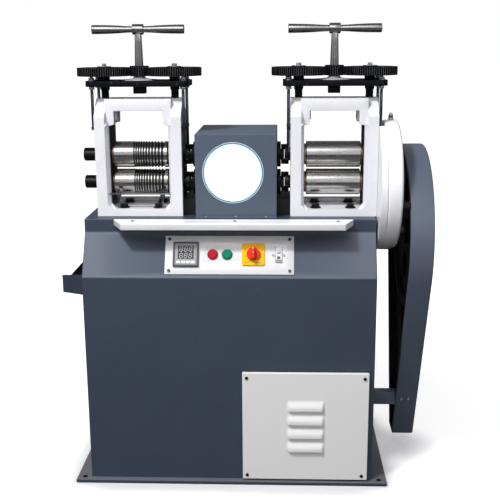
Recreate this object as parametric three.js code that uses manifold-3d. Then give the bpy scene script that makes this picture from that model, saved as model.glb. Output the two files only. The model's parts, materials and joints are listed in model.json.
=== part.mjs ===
// Double head jewellers rolling mill on a floor cabinet, in millimetres.
// +Z is up and the front faces -Y. The origin lies under the middle of the base plate.
import * as THREE from 'three';
import { mergeVertices } from 'three/addons/utils/BufferGeometryUtils.js';
import Module from 'manifold-3d';

const wasm = await Module();
wasm.setup();

// Clearances
const seat = 0.3;          // gap between pieces that touch
const running = 0.5;       // radial gap where a shaft turns in its bore
const bolted = 0.8;        // radial gap of a rod or screw in its hole

// Base plate
const baseMarginX = 42.5;
const baseMarginY = 20;
const baseThick = 10;
const baseHoleRadius = 7;
const baseHoleInset = 22;
const baseSeatRadius = 16;
const baseSeatDepth = 0.6;

// Cabinet
const cabinetFront = -220;
const cabinetRear = 220;
const cabinetSheet = 3;
const consoleRise = 118;
const consoleBand = 37;    // upright band between the console and the table
const consoleSetback = 67;
const tableHeight = 775;
const tableThick = 12;
const shaftOpeningRadius = 32;

// Access cover on the cabinet's front
const accessSideGap = 15;
const accessWidth = 362;
const accessBottom = 15;
const accessHeight = 330;
const accessProud = 12;
const accessSheet = 2;
const accessBevel = 5;
const accessOverlap = 25;
const louvreCount = 4;
const louvreWidth = 105;
const louvreHeight = 33;
const louvrePitch = 43;
const louvreProud = 9;
const louvreSheet = 2;
const louvreShift = 5.5;
const louvreTop = 276;
const louvreCorner = 10;

// Console panel, measured from the lower edge of the sloping face
const panelCentreX = 1;
const panelCentreUp = 67;
const panelWidth = 362;
const panelHeight = 112;
const panelThick = 3;
const panelCutBack = 16;
const controlsUp = 68;
const meterX = -121;
const meterSize = 72;
const meterCase = 67;
const meterProud = 7;
const meterDepth = 55;
const redButtonX = -45.5;
const greenButtonX = -5.3;
const bezelRadius = 15;
const bezelWall = 3;
const bezelProud = 4;
const buttonProud = 7;
const buttonStemRadius = 7;
const buttonStemLength = 26;
const switchX = 68.3;
const switchPlateSize = 64;
const switchPlateThick = 4;
const switchCollarRadius = 21;
const switchCollarThick = 3;
const knobRadius = 18.5;
const knobThick = 6;
const knobGripWidth = 10;
const knobGripLength = 38;
const knobGripProud = 15;
const knobSpigotRadius = 5;
const breakerX = 139.2;
const breakerWidth = 17.5;
const breakerHeight = 45;
const breakerProud = 5;
const breakerDepth = 40;
const breakerSlotWidth = 9;
const breakerSlotHeight = 26;
const leverWidth = 8;
const leverPivotRadius = 7;
const leverReach = 15;
const leverThick = 5;
const leverTilt = 35;      // degrees up from square to the panel

// Work rest
const restThick = 18;
const restReach = 69;
const restRearLeft = -329;
const restRearRight = 349;
const restFrontLeft = -297;
const restFrontRight = 322;

// Side tray
const trayReach = 50;
const trayLip = 25;
const trayFront = -140;
const trayLength = 250;
const trayDrop = 13;       // below the console's lower edge
const trayDepth = 52;
const trayInnerDepth = 63;
const traySheet = 2.5;

// Drive line: both heads lie the same distance from the gearbox's centre
const gearboxX = 18;
const couplingBay = 38.5;  // between a housing and the gearbox cover
const housingOverhang = 4; // of the right housing past the cabinet's side
const rollY = -44;
const lowerRollRise = 89.7;
const rollPitch = 80;

// Mill housing, about the head's centre
const housingWidth = 245;
const housingDepth = 140;
const postWidth = 29.5;
const postDepth = 28;
const sillHeight = 20;
const chockHeadroom = 8.3;
const crownWindowRise = 35;
const crownRise = 69;
const crownHalfWidth = 65;
const crownBevel = 49;
const windowCorner = 14;
const shoulderCorner = 8;

// Rolls
const rollRadius = 37.5;
const rollFaceHalf = 77.5;
const rollEdge = 1.5;
const neckRadius = 19;
const neckStub = 45.5;
const grooveCount = 11;
const grooveStart = -21;
const grooveFirstPitch = 6;
const groovePitchGrowth = 0.42;
const grooveShare = 0.72;
const wingInner = 14;
const wingOuter = 29;
const wingAngle = 40;      // degrees
const wingHubThick = 12;
const wingLength = 10;

// Chocks and lift rods
const chockSideGap = 0.2;
const chockThick = 38.3;
const lowerChockRise = 39;
const upperChockDrop = 36;
const upperChockRise = 72;
const chockFlangeThick = 12;
const chockFlangeProud = 13.5;
const chockFlangeHalf = 55;
const chockCollarRadius = 30;
const rodOutset = 6;
const rodSpread = 46;
const rodRadius = 4.5;
const rodTipProud = 11;

// Bridge plate, pressure screws and gears
const bridgeClearance = 33.7;
const bridgeThick = 16;
const bridgeMargin = 16.5;
const bridgeDepth = 124;
const bridgeCorner = 12;
const bridgeFlangeRadius = 53;
const bridgeFlangeThick = 5;
const bridgeBossHalf = 18;
const bridgeBossDrop = 17;
const gearSpread = 100;
const gearTeeth = 48;
const pinionTeeth = 16;
const gearClearance = 15;
const gearFace = 22;
const gearHubRadius = 20;
const gearBacklash = 0.35;
const screwRadius = 11.5;
const screwCollarRadius = 16;
const screwCollarThick = 10;
const screwTopProud = 4;
const pinionDrop = 4;
const pinionProud = 3;

// T handle
const spigotRadius = 9;
const stemFootRadius = 12;
const stemTopRadius = 9;
const handleRise = 100;
const handleLength = 260;
const handleEndRadius = 12.5;
const handleNeckRadius = 8.5;
const handleHubRadius = 14.5;
const handleHubLength = 31;

// Guide bar in front of the left lower roll
const guideRise = 40.7;
const guideThick = 4;
const guideDepth = 20;
const guideStudInset = 30;
const guideStudRadius = 5;
const guideStudProud = 11;

// Gearbox
const coverHalf = 115;
const coverFront = -130;
const coverRear = 156;
const coverHeadroom = 66;  // over the upper roll's axis
const coverSheet = 3;
const coverFlange = 15;
const coverNeckGap = 30;
const bedDrop = 43;        // below the lower roll's axis
const bedFront = -90;
const bedRear = 50;
const standInner = 62;
const standOuter = 88;
const standHalfDepth = 44;
const standRise = 47;      // over the upper roll's axis
const standRelief = 12;
const driveGearModule = 5;
const driveGearTeeth = 16;
const driveGearHalf = 50;
const driveBacklash = 0.5;
const driveJournalRadius = 22;
const driveCollarRadius = 30;
const driveSpigotRadius = 16;
const couplingRadius = 36.5;
const couplingThick = 10;
const couplingGap = 1;
const couplingHubRadius = 26;
const couplingHubLength = 12;
const couplingJaw = 9.5;

// Reducer on the right side
const casingStandoff = 4.8;
const casingWidth = 58.7;
const casingRadius = 184;
const casingDrop = 7;
const casingWall = 6;
const casingRound = 9;
const casingLobeRadius = 56;
const casingCavity = 141;
const casingLobeCavity = 50;
const casingBossInset = 22;
const notchDepth = 16;
const notchDrop = 7;       // below the top chock's flange
const padHeight = 81;
const padTopGap = 4;
const plugRadius = 6.5;
const plugHeight = 20;
const plugFlangeRadius = 8.5;
const plugShank = 6;
const plugFromEdge = 20;
const reducerModule = 6;
const reducerTeeth = 44;
const reducerPinionTeeth = 14;
const reducerFace = 26;
const reducerBacklash = 0.6;
const reducerHubRadius = 36;
const pinionAxisAngle = -67.6;   // degrees, from the gear's axis, from +Y towards +Z

// Belt drive and its guard
const pulleyShaftRadius = 16;
const drivenPulleyRadius = 230;
const drivenHubRadius = 38;
const drivenRimThick = 24;
const drivenWebThick = 10;
const drivenHoleRadius = 42;
const drivenHoleCircle = 120;
const drivenHoleCount = 5;
const motorPulleyRadius = 55;
const pulleyWidth = 32;
const beltTopWidth = 17;
const beltBottomWidth = 10;
const beltDepth = 11;
const beltProud = 2;
const motorY = 35;
const motorZ = 160;
const motorShaftRadius = 14;
const guardStandoff = 22;
const guardWidth = 65;
const guardLead = 32;      // from the guard's open side to the belt's middle
const guardSheet = 2;
const guardRadius = 262;
const guardReturn = 10;
const guardBottom = 52;
const guardFootFront = 7;
const guardFootRear = 85;
const guardBossRadius = 11;
const guardBracketBottom = 160;
const guardBracketTop = 196;
const guardBracketFront = -40;
const guardBracketRear = -6;

// Motor
const motorSideGap = 14.5;
const motorLength = 268;
const motorShield = 52;
const motorFrontShield = 21;
const motorRadius = 96;
const motorFinDepth = 8;
const motorFins = 8;
const motorFootHalf = 108;
const motorFootThick = 12;
const motorFootLead = 40;
const motorFootLength = 180;
const motorBaseTop = 46;
const motorBaseSheet = 6;
const motorBoxHalf = 42;
const motorBoxRise = 40;

// Facet counts
const boreSteps = 12;
const rollSteps = 12;
const roundSteps = 10;
const smallSteps = 8;
const rodSteps = 6;
const largeSteps = 20;

// Values that several pieces share
const headOffset = coverHalf + couplingBay + housingWidth / 2;
const cabinetHalf = gearboxX + headOffset + housingWidth / 2 - housingOverhang;
const baseHalf = cabinetHalf + baseMarginX;
const baseFront = cabinetFront - baseMarginY;
const baseRear = cabinetRear + baseMarginY;
const accessCentreX = cabinetHalf - accessSideGap - accessWidth / 2;
const louvreCentreX = accessCentreX + louvreShift;
const consoleTop = tableHeight - consoleBand;
const kneeHeight = consoleTop - consoleRise;
const trayTop = kneeHeight - trayDrop;
const tableSeat = tableHeight + seat;
const lowerRollZ = tableSeat + lowerRollRise;
const upperRollZ = lowerRollZ + rollPitch;
const housingFront = rollY - housingDepth / 2;
const housingRear = rollY + housingDepth / 2;
const windowHalf = housingWidth / 2 - postWidth;
const chockOuter = housingWidth / 2 - chockSideGap;
const chockInner = chockOuter - chockThick;
const chockFlangeReach = housingWidth / 2 + chockFlangeProud;
const rodX = housingWidth / 2 + rodOutset;
const bridgeHalf = rodX + bridgeMargin;
const sideWindowHalf = housingDepth / 2 - postDepth;
const sillTop = tableSeat + sillHeight;
const guideBottom = sillTop + guideRise;
const upperChockTop = upperRollZ + upperChockRise + chockFlangeThick;
const windowTop = upperChockTop + chockHeadroom;
const crownWindowTop = windowTop + crownWindowRise;
const housingTop = windowTop + crownRise;
const bridgeBottom = housingTop + bridgeClearance;
const bridgeTop = bridgeBottom + bridgeThick;
const gearModule = 2 * gearSpread / (gearTeeth + pinionTeeth);
const gearBottom = bridgeTop + gearClearance;
const gearTop = gearBottom + gearFace;
const pinionBottom = gearBottom - pinionDrop;
const pinionTop = gearTop + pinionProud;
const handleHeight = pinionTop + handleRise;
const consoleSlope = Math.atan2(consoleTop - kneeHeight, consoleSetback);
const coverReach = headOffset - coverHalf;
const couplingFace = coverReach - couplingGap - couplingThick;
const wingHubEnd = couplingFace - couplingJaw - seat * 4;
const reducerSpread = reducerModule * (reducerTeeth + reducerPinionTeeth) / 2;
const pinionAxis = THREE.MathUtils.degToRad(pinionAxisAngle);
const pulleyY = rollY + reducerSpread * Math.cos(pinionAxis);
const pulleyZ = lowerRollZ + reducerSpread * Math.sin(pinionAxis);
const casingLeft = cabinetHalf + casingStandoff;
const casingRight = casingLeft + casingWidth;
const guardLeft = casingRight + guardStandoff;
const guardRight = guardLeft + guardWidth;
const pulleyCentreX = guardLeft + guardLead;
const motorRight = cabinetHalf - motorSideGap;
const motorLeft = motorRight - motorLength;
const motorFootLeft = motorLeft + motorFootLead;
const motorFootRight = motorFootLeft + motorFootLength;
const coverTop = upperRollZ + coverHeadroom;
const bedTop = lowerRollZ - bedDrop;
const standTop = upperRollZ + standRise;
const reducerLeft = (casingLeft + casingRight - reducerFace) / 2;
const reducerRight = reducerLeft + reducerFace;
const buttonHoleRadius = bezelRadius - bezelWall;

// Materials
function paint(color, roughness, metalness) {
  return new THREE.MeshStandardMaterial({ color, roughness, metalness });
}
const slatePaint = paint(0x47525f, 0.45, 0.1);
const whitePaint = paint(0xe9eaee, 0.4, 0.0);
const coverPaint = paint(0xdfdedd, 0.45, 0.0);
const blackSteel = paint(0x17181b, 0.5, 0.6);
const brightSteel = paint(0xb9bbbe, 0.25, 1.0);
const polishedSteel = paint(0xc9cacc, 0.12, 1.0);
const darkCast = paint(0x2a2d31, 0.6, 0.5);
const blackRubber = paint(0x111112, 0.8, 0.0);
const motorPaint = paint(0x3b5a78, 0.5, 0.1);
const blackPlastic = paint(0x1a1b1e, 0.45, 0.0);
const redPlastic = paint(0xd02a20, 0.35, 0.0);
const greenPlastic = paint(0x1d8f5a, 0.35, 0.0);
const yellowPlastic = paint(0xf2a516, 0.4, 0.0);
const whitePlastic = paint(0xe8e8e6, 0.4, 0.0);

// Shapes
function polygon(points) {
  return new THREE.Shape(points.map(([u, v]) => new THREE.Vector2(u, v)));
}

function arc(centreU, centreV, radius, from, to, steps) {
  const points = [];
  for (let i = 0; i <= steps; i += 1) {
    const angle = from + (to - from) * i / steps;
    points.push([centreU + radius * Math.cos(angle), centreV + radius * Math.sin(angle)]);
  }
  return points;
}

function ring(centreU, centreV, radius, steps) {
  return arc(centreU, centreV, radius, 0, 2 * Math.PI, steps).slice(0, -1);
}

function rectangle(u0, u1, v0, v1, corner = 0) {
  if (corner === 0) {
    return [[u0, v0], [u1, v0], [u1, v1], [u0, v1]];
  }
  return [
    [u0 + corner, v0], [u1 - corner, v0], [u1, v0 + corner], [u1, v1 - corner],
    [u1 - corner, v1], [u0 + corner, v1], [u0, v1 - corner], [u0, v0 + corner],
  ];
}

// Outline round two circles, the second one the smaller
function beltOutline(a, radiusA, b, radiusB, stepsA, stepsB) {
  const along = Math.atan2(b[1] - a[1], b[0] - a[0]);
  const distance = Math.hypot(b[0] - a[0], b[1] - a[1]);
  const lean = Math.acos((radiusA - radiusB) / distance);
  return [
    ...arc(a[0], a[1], radiusA, along + lean, along + 2 * Math.PI - lean, stepsA),
    ...arc(b[0], b[1], radiusB, along - lean, along + lean, stepsB),
  ];
}

// Solids. An outline is drawn in (Y, Z) for alongX, (X, Z) for alongY and (X, Y) for alongZ.
const axisX = new THREE.Vector3(1, 0, 0);
const axisY = new THREE.Vector3(0, 1, 0);
const axisZ = new THREE.Vector3(0, 0, 1);
const backY = new THREE.Vector3(0, -1, 0);
const facingX = new THREE.Matrix4().makeBasis(axisY, axisZ, axisX);
const facingY = new THREE.Matrix4().makeBasis(axisX, axisZ, backY);

function extrude(points, length, holes = [], bevel = 0, bevelSteps = 1) {
  const shape = polygon(points);
  for (const hole of holes) {
    shape.holes.push(polygon(hole));
  }
  return new THREE.ExtrudeGeometry(shape, {
    depth: length,
    bevelEnabled: bevel > 0,
    bevelThickness: bevel,
    bevelSize: bevel,
    bevelOffset: -bevel,
    bevelSegments: bevelSteps,
    steps: 1,
  });
}

function alongX(points, x0, x1, holes) {
  return extrude(points, x1 - x0, holes).applyMatrix4(facingX).translate(x0, 0, 0);
}

function alongY(points, y0, y1, holes) {
  return extrude(points, y1 - y0, holes).applyMatrix4(facingY).translate(0, y1, 0);
}

function alongZ(points, z0, z1, holes) {
  return extrude(points, z1 - z0, holes).translate(0, 0, z0);
}

function block(x0, x1, y0, y1, z0, z1) {
  return new THREE.BoxGeometry(x1 - x0, y1 - y0, z1 - z0)
    .translate((x0 + x1) / 2, (y0 + y1) / 2, (z0 + z1) / 2);
}

function shaftX(radius, x0, x1, y, z, steps = roundSteps) {
  return new THREE.CylinderGeometry(radius, radius, x1 - x0, steps)
    .rotateZ(-Math.PI / 2).translate((x0 + x1) / 2, y, z);
}

function shaftZ(radius, z0, z1, x, y, steps = roundSteps) {
  return new THREE.CylinderGeometry(radius, radius, z1 - z0, steps)
    .rotateX(Math.PI / 2).translate(x, y, (z0 + z1) / 2);
}

// Bores for shafts that turn: the flats lie at the radius, so a facet's corner clears them
const boreScale = 1 / Math.cos(Math.PI / boreSteps);

function boreX(radius, x0, x1, y, z) {
  return shaftX(radius * boreScale, x0, x1, y, z, boreSteps);
}

function boreZ(radius, z0, z1, x, y) {
  return shaftZ(radius * boreScale, z0, z1, x, y, boreSteps);
}

function lathe(profile, steps) {
  return new THREE.LatheGeometry(profile.map(([r, h]) => new THREE.Vector2(r, h)), steps);
}

function latheX(profile, y, z, steps = roundSteps) {
  return lathe(profile, steps).rotateZ(-Math.PI / 2).translate(0, y, z);
}

function latheZ(profile, x, y, steps = roundSteps) {
  return lathe(profile, steps).rotateX(Math.PI / 2).translate(x, y, 0);
}

// Joins and cuts
function toSolid(geometry) {
  const bare = geometry.clone();
  bare.deleteAttribute('normal');
  bare.deleteAttribute('uv');
  const merged = mergeVertices(bare, 1e-4);
  const index = merged.index.array;
  const kept = [];
  for (let i = 0; i < index.length; i += 3) {
    const [a, b, c] = [index[i], index[i + 1], index[i + 2]];
    if (a !== b && b !== c && c !== a) {
      kept.push(a, b, c);
    }
  }
  return new wasm.Manifold(new wasm.Mesh({
    numProp: 3,
    vertProperties: new Float32Array(merged.attributes.position.array),
    triVerts: new Uint32Array(kept),
  }));
}

function toGeometry(solid) {
  const mesh = solid.getMesh();
  const geometry = new THREE.BufferGeometry();
  geometry.setAttribute('position', new THREE.BufferAttribute(mesh.vertProperties, 3));
  geometry.setIndex(new THREE.BufferAttribute(mesh.triVerts, 1));
  return geometry;
}

function join(...parts) {
  return toGeometry(parts.map(toSolid).reduce((sum, part) => sum.add(part)));
}

function cut(body, ...tools) {
  return toGeometry(tools.map(toSolid).reduce((sum, tool) => sum.subtract(tool), toSolid(body)));
}

function common(a, b) {
  return toGeometry(toSolid(a).intersect(toSolid(b)));
}

// Spur gear outline: straight flanks through the pitch and tip widths of a 20 degree involute
// tooth, meeting in a sharp root. A tooth points along the first axis turned by phase.
function gearOutline(teeth, module, backlash, phase = 0) {
  const pitch = teeth * module / 2;
  const tip = pitch + module;
  const base = pitch * Math.cos(THREE.MathUtils.degToRad(20));
  const involute = (radius) => {
    const lean = Math.acos(Math.min(1, base / radius));
    return Math.tan(lean) - lean;
  };
  const half = Math.PI / (2 * teeth) - backlash / (2 * pitch);
  const tipHalf = half + involute(pitch) - involute(tip);
  const root = pitch - module * (Math.PI / teeth - half) / (half - tipHalf);
  const points = [];
  for (let tooth = 0; tooth < teeth; tooth += 1) {
    const centre = phase + 2 * Math.PI * tooth / teeth;
    for (const [radius, angle] of [
      [root, centre - Math.PI / teeth], [tip, centre - tipHalf], [tip, centre + tipHalf],
    ]) {
      points.push([radius * Math.cos(angle), radius * Math.sin(angle)]);
    }
  }
  return points;
}

function shifted(points, u, v) {
  return points.map(([a, b]) => [a + u, b + v]);
}

// The assembly
const mill = new THREE.Group();

function add(parent, name, geometry, material) {
  const mesh = new THREE.Mesh(geometry, material);
  mesh.name = name;
  parent.add(mesh);
}

// Base plate with an anchor hole and its spot face near each corner
function basePlate() {
  const holes = [];
  const seats = [];
  for (const sideX of [-1, 1]) {
    for (const sideY of [-1, 1]) {
      const x = sideX * (baseHalf - baseHoleInset);
      const y = sideY < 0 ? baseFront + baseHoleInset : baseRear - baseHoleInset;
      holes.push(ring(x, y, baseHoleRadius, smallSteps));
      seats.push(alongZ(ring(x, y, baseSeatRadius, smallSteps), baseThick - baseSeatDepth,
        baseThick + 1));
    }
  }
  const outline = rectangle(-baseHalf, baseHalf, baseFront, baseRear);
  return cut(alongZ(outline, 0, baseThick, holes), ...seats);
}

// Cabinet: a folded shell, open below, with openings for the cover, console and motor shaft
function cabinetShell() {
  const half = cabinetHalf;
  const bottom = baseThick + seat;
  const consoleFront = cabinetFront + consoleSetback;
  const kneeShift = cabinetSheet * Math.tan((Math.PI / 2 - consoleSlope) / 2);
  const outside = [
    [cabinetFront, bottom], [cabinetRear, bottom], [cabinetRear, tableHeight],
    [consoleFront, tableHeight], [consoleFront, consoleTop], [cabinetFront, kneeHeight],
  ];
  const under = tableHeight - tableThick;
  const inside = [
    [cabinetFront + cabinetSheet, bottom - 1], [cabinetRear - cabinetSheet, bottom - 1],
    [cabinetRear - cabinetSheet, under], [consoleFront + cabinetSheet, under],
    [consoleFront + cabinetSheet, consoleTop - kneeShift],
    [cabinetFront + cabinetSheet, kneeHeight - kneeShift],
  ];
  const shell = cut(
    alongX(outside, -half, half),
    alongX(inside, -half + cabinetSheet, half - cabinetSheet),
  );
  const accessHalf = accessWidth / 2 - accessOverlap;
  const access = block(
    accessCentreX - accessHalf, accessCentreX + accessHalf,
    cabinetFront - 1, cabinetFront + cabinetSheet + 1,
    accessBottom + accessOverlap, accessBottom + accessHeight - accessOverlap,
  );
  const panelHalf = panelWidth / 2 - panelCutBack;
  const consoleCut = block(
    panelCentreX - panelHalf, panelCentreX + panelHalf,
    panelCentreUp - panelHeight / 2 + panelCutBack, panelCentreUp + panelHeight / 2 - panelCutBack,
    -cabinetSheet * 2, 1,
  ).rotateX(consoleSlope).translate(0, cabinetFront, kneeHeight);
  const shaftOpening = shaftX(shaftOpeningRadius, half - cabinetSheet - 1, half + 1, motorY, motorZ);
  return cut(shell, access, consoleCut, shaftOpening);
}

// A shallow tray with bevelled front edges, its open side towards +Y
function pan(width, height, depth, bevel) {
  const outline = rectangle(-width / 2, width / 2, -height / 2, height / 2);
  const front = extrude(outline, depth, [], bevel).applyMatrix4(facingY);
  return common(front.translate(0, bevel, 0), block(-width, width, -depth, 2, -height, height));
}

// Access cover with pressed louvres that open downwards
function accessCover() {
  const inset = accessSheet * 2;
  const shell = cut(
    pan(accessWidth, accessHeight, accessProud, accessBevel).translate(0, -2, 0),
    pan(accessWidth - inset, accessHeight - inset, accessProud, accessBevel)
      .translate(0, accessSheet - 2, 0),
    block(-accessWidth, accessWidth, -2, 4, -accessHeight, accessHeight),
  );
  const centreZ = accessBottom + accessHeight / 2;
  let cover = shell.translate(accessCentreX, cabinetFront - seat + 2, centreZ);
  const face = cabinetFront - seat - accessProud;
  const sideX = [louvreCentreX - louvreWidth / 2, louvreCentreX + louvreWidth / 2];
  for (let i = 0; i < louvreCount; i += 1) {
    const foot = louvreTop - louvreHeight - i * louvrePitch;
    const head = foot + louvreHeight;
    const out = face - louvreProud;
    const hood = common(
      alongX([
        [face + accessSheet, foot], [face + accessSheet, head], [face, head],
        [face - louvreProud * 0.7, head - 5], [out, head - 13], [out, foot],
      ], ...sideX),
      alongY(rectangle(...sideX, foot, head, louvreCorner), out - 1, face + accessSheet + 1),
    );
    const hollow = alongX([
      [face + accessSheet + 1, foot - 1], [face + accessSheet + 1, head - louvreSheet * 2],
      [face + louvreSheet - louvreProud * 0.7, head - 5 - louvreSheet],
      [out + louvreSheet, head - 14], [out + louvreSheet, foot - 1],
    ], sideX[0] + louvreCorner, sideX[1] - louvreCorner);
    cover = cut(join(cover, hood), hollow);
  }
  return cover;
}

// Work rest: a thick plate, narrower at the front, against the cabinet's upper band
function workRest() {
  const rear = cabinetFront + consoleSetback - seat;
  const front = rear - restReach;
  const outline = [
    [restRearLeft, rear], [restFrontLeft, front], [restFrontRight, front], [restRearRight, rear],
  ];
  return alongZ(outline, tableHeight - restThick, tableHeight);
}

// Side tray: folded front plate, then an open box behind it
function sideTray() {
  const inner = -cabinetHalf - seat;
  const outer = inner - trayReach;
  const end = outer - trayLip;
  const rear = trayFront + trayLength;
  const bottom = trayTop - trayDepth;
  const plate = alongY([
    [end, bottom], [inner, trayTop - trayInnerDepth], [inner, trayTop], [end, trayTop],
  ], trayFront, trayFront + traySheet);
  const box = cut(
    block(outer, inner, trayFront, rear, bottom, trayTop),
    block(outer + traySheet, inner - traySheet, trayFront + traySheet, rear - traySheet,
      bottom + traySheet, trayTop + 1),
  );
  const lip = block(end, outer + traySheet, trayFront, rear, trayTop - traySheet, trayTop);
  return join(plate, box, lip);
}

// Housing: two side frames with a window for the chocks, a sill and a set-back crown
function housing(x) {
  const half = housingWidth / 2;
  const window = [
    [-windowHalf + windowCorner, sillTop], [windowHalf - windowCorner, sillTop],
    [windowHalf, sillTop + windowCorner],
    [windowHalf, windowTop - shoulderCorner],
    [windowHalf - shoulderCorner, windowTop],
    [crownHalfWidth, windowTop + shoulderCorner],
    [crownHalfWidth, crownWindowTop],
    [-crownHalfWidth, crownWindowTop],
    [-crownHalfWidth, windowTop + shoulderCorner],
    [-windowHalf + shoulderCorner, windowTop],
    [-windowHalf, windowTop - shoulderCorner],
    [-windowHalf, sillTop + windowCorner],
  ];
  const frame = alongY(
    rectangle(-half, half, tableSeat, housingTop), housingFront, housingRear, [window]);
  const bevels = [-1, 1].map((side) => {
    const face = rollY + side * housingDepth / 2;
    const top = housingTop + 1;
    return alongX(side < 0
      ? [[face - 1, housingTop - crownBevel - 1], [face + crownBevel + 1, top], [face - 1, top]]
      : [[face + 1, housingTop - crownBevel - 1], [face + 1, top], [face - crownBevel - 1, top]],
    -half - 1, half + 1);
  });
  const crownTop = housingTop + 1;
  const setbacks = [-1, 1].map((side) => {
    const face = rollY + side * (housingDepth / 2 + 1);
    const inner = rollY + side * (housingDepth / 2 - crownBevel);
    return block(-crownHalfWidth, crownHalfWidth, Math.min(face, inner), Math.max(face, inner),
      windowTop + shoulderCorner, crownTop);
  });
  const sideWindows = block(-half - 1, half + 1, rollY - sideWindowHalf, rollY + sideWindowHalf,
    sillTop, windowTop);
  const screwHoles = [-1, 1].map((side) => shaftZ(
    screwRadius + bolted, windowTop - 1, crownTop, side * gearSpread, rollY));
  return cut(frame, ...bevels, ...setbacks, sideWindows, ...screwHoles).translate(x, 0, 0);
}

// Chock block with its thrust ring; side is +1 where it lies towards +X from the head's centre
function chockBlock(side, height, bottom, top) {
  const half = sideWindowHalf - seat;
  const body = block(chockInner, chockOuter, rollY - half, rollY + half, bottom, top);
  const collar = shaftX(chockCollarRadius, rollFaceHalf + seat, chockInner + 1, rollY, height);
  const bore = boreX(neckRadius + running, rollFaceHalf - 1, chockFlangeReach + 1,
    rollY, height);
  const turned = (geometry) => (side > 0 ? geometry
    : geometry.translate(0, -rollY, 0).rotateZ(Math.PI).translate(0, rollY, 0));
  return { body, collar, bore, turned };
}

function bottomChock(x, side) {
  const { body, collar, bore, turned } = chockBlock(
    side, lowerRollZ, sillTop + seat, lowerRollZ + lowerChockRise);
  return turned(cut(join(body, collar), bore)).translate(x, 0, 0);
}

// Top chock with its outer flange and two lift rods
function topChock(x, side) {
  const { body, collar, bore, turned } = chockBlock(
    side, upperRollZ, upperRollZ - upperChockDrop, upperRollZ + upperChockRise + 1);
  const flangeBottom = upperRollZ + upperChockRise;
  const half = sideWindowHalf - seat;
  const neck = block(chockInner, chockOuter + 2, rollY - half, rollY + half,
    flangeBottom, upperChockTop);
  const flange = block(housingWidth / 2 + seat, chockFlangeReach, rollY - chockFlangeHalf,
    rollY + chockFlangeHalf, flangeBottom, upperChockTop);
  const pieces = [body, collar, neck, flange];
  for (const spread of [-rodSpread, rodSpread]) {
    const y = rollY + spread;
    pieces.push(shaftZ(rodRadius, flangeBottom + 2, bridgeTop + rodTipProud, rodX, y, rodSteps));
  }
  return turned(cut(join(...pieces), bore)).translate(x, 0, 0);
}

// Grooves grow in pitch and width towards the gearbox
function grooveProfile() {
  const points = [];
  let left = grooveStart;
  for (let i = 0; i < grooveCount; i += 1) {
    const pitch = grooveFirstPitch + groovePitchGrowth * i;
    const width = pitch * grooveShare;
    points.push([rollRadius, left], [rollRadius - width / 2, left + pitch / 2]);
    left += pitch;
  }
  points.push([rollRadius, left]);
  return points;
}

// Roll with its necks and, on the gearbox side, a hub with two driving wings.
// The profile runs along the axis towards the gearbox.
function roll(x, z, outerEnd, grooved, towards) {
  const profile = [
    [0, -outerEnd], [neckRadius - 2, -outerEnd], [neckRadius, -outerEnd + 2],
    [neckRadius, -rollFaceHalf], [rollRadius - rollEdge, -rollFaceHalf],
    [rollRadius, -rollFaceHalf + rollEdge],
    ...(grooved ? grooveProfile() : []),
    [rollRadius, rollFaceHalf - rollEdge], [rollRadius - rollEdge, rollFaceHalf],
    [neckRadius, rollFaceHalf], [neckRadius, wingHubEnd - wingHubThick],
    [wingOuter, wingHubEnd - wingHubThick], [wingOuter, wingHubEnd], [0, wingHubEnd],
  ];
  const wings = [Math.PI / 2, -Math.PI / 2].map((angle) => alongX(
    sector(wingInner, wingOuter, angle), wingHubEnd - 1, wingHubEnd + wingLength));
  const body = join(latheX(profile, 0, 0, rollSteps), ...wings);
  return (towards > 0 ? body : body.rotateZ(Math.PI)).translate(x, rollY, z);
}

function sector(inner, outer, angle) {
  const half = THREE.MathUtils.degToRad(wingAngle / 2);
  return [
    ...arc(0, 0, outer, angle - half, angle + half, 2),
    ...arc(0, 0, inner, angle + half, angle - half, 1),
  ];
}

// Bridge plate with its thrust flange above and bearing boss below
function bridgePlate(x) {
  const outline = rectangle(-bridgeHalf, bridgeHalf, rollY - bridgeDepth / 2,
    rollY + bridgeDepth / 2, bridgeCorner);
  const holes = [];
  for (const side of [-1, 1]) {
    holes.push(ring(side * gearSpread, rollY, screwRadius + bolted, roundSteps));
    for (const spread of [-rodSpread, rodSpread]) {
      holes.push(ring(side * rodX, rollY + spread, rodRadius + bolted * 1.3, rodSteps));
    }
  }
  const plate = alongZ(outline, bridgeBottom, bridgeTop, holes);
  const flange = latheZ([
    [0, bridgeTop - 1], [bridgeFlangeRadius, bridgeTop - 1],
    [bridgeFlangeRadius, bridgeTop + 1.5], [spigotRadius + 10, bridgeTop + bridgeFlangeThick],
    [0, bridgeTop + bridgeFlangeThick],
  ], 0, rollY);
  const boss = block(-bridgeBossHalf, bridgeBossHalf, rollY - bridgeBossHalf,
    rollY + bridgeBossHalf, bridgeBottom - bridgeBossDrop, bridgeBottom + 1);
  const bore = boreZ(spigotRadius + running, bridgeBottom - bridgeBossDrop - 1,
    bridgeTop + bridgeFlangeThick + 1, 0, rollY);
  return cut(join(plate, flange, boss), bore).translate(x, 0, 0);
}

// Large gear on a pressure screw. The pinion has a tooth along +X, so the gear there has a space.
function screwGear(x, side) {
  const space = Math.PI / gearTeeth;
  const phase = side > 0 ? Math.PI + space : space * ((pinionTeeth + 1) % 2);
  const outline = gearOutline(gearTeeth, gearModule, gearBacklash, phase);
  const bore = screwRadius + seat;
  const wheel = alongZ(outline, gearBottom, gearTop);
  const hub = shaftZ(gearHubRadius, bridgeTop + seat, gearBottom + 1, 0, 0);
  const hole = shaftZ(bore, bridgeTop, gearTop + 1, 0, 0, smallSteps);
  return cut(join(wheel, hub), hole).translate(x + side * gearSpread, rollY, 0);
}

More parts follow.
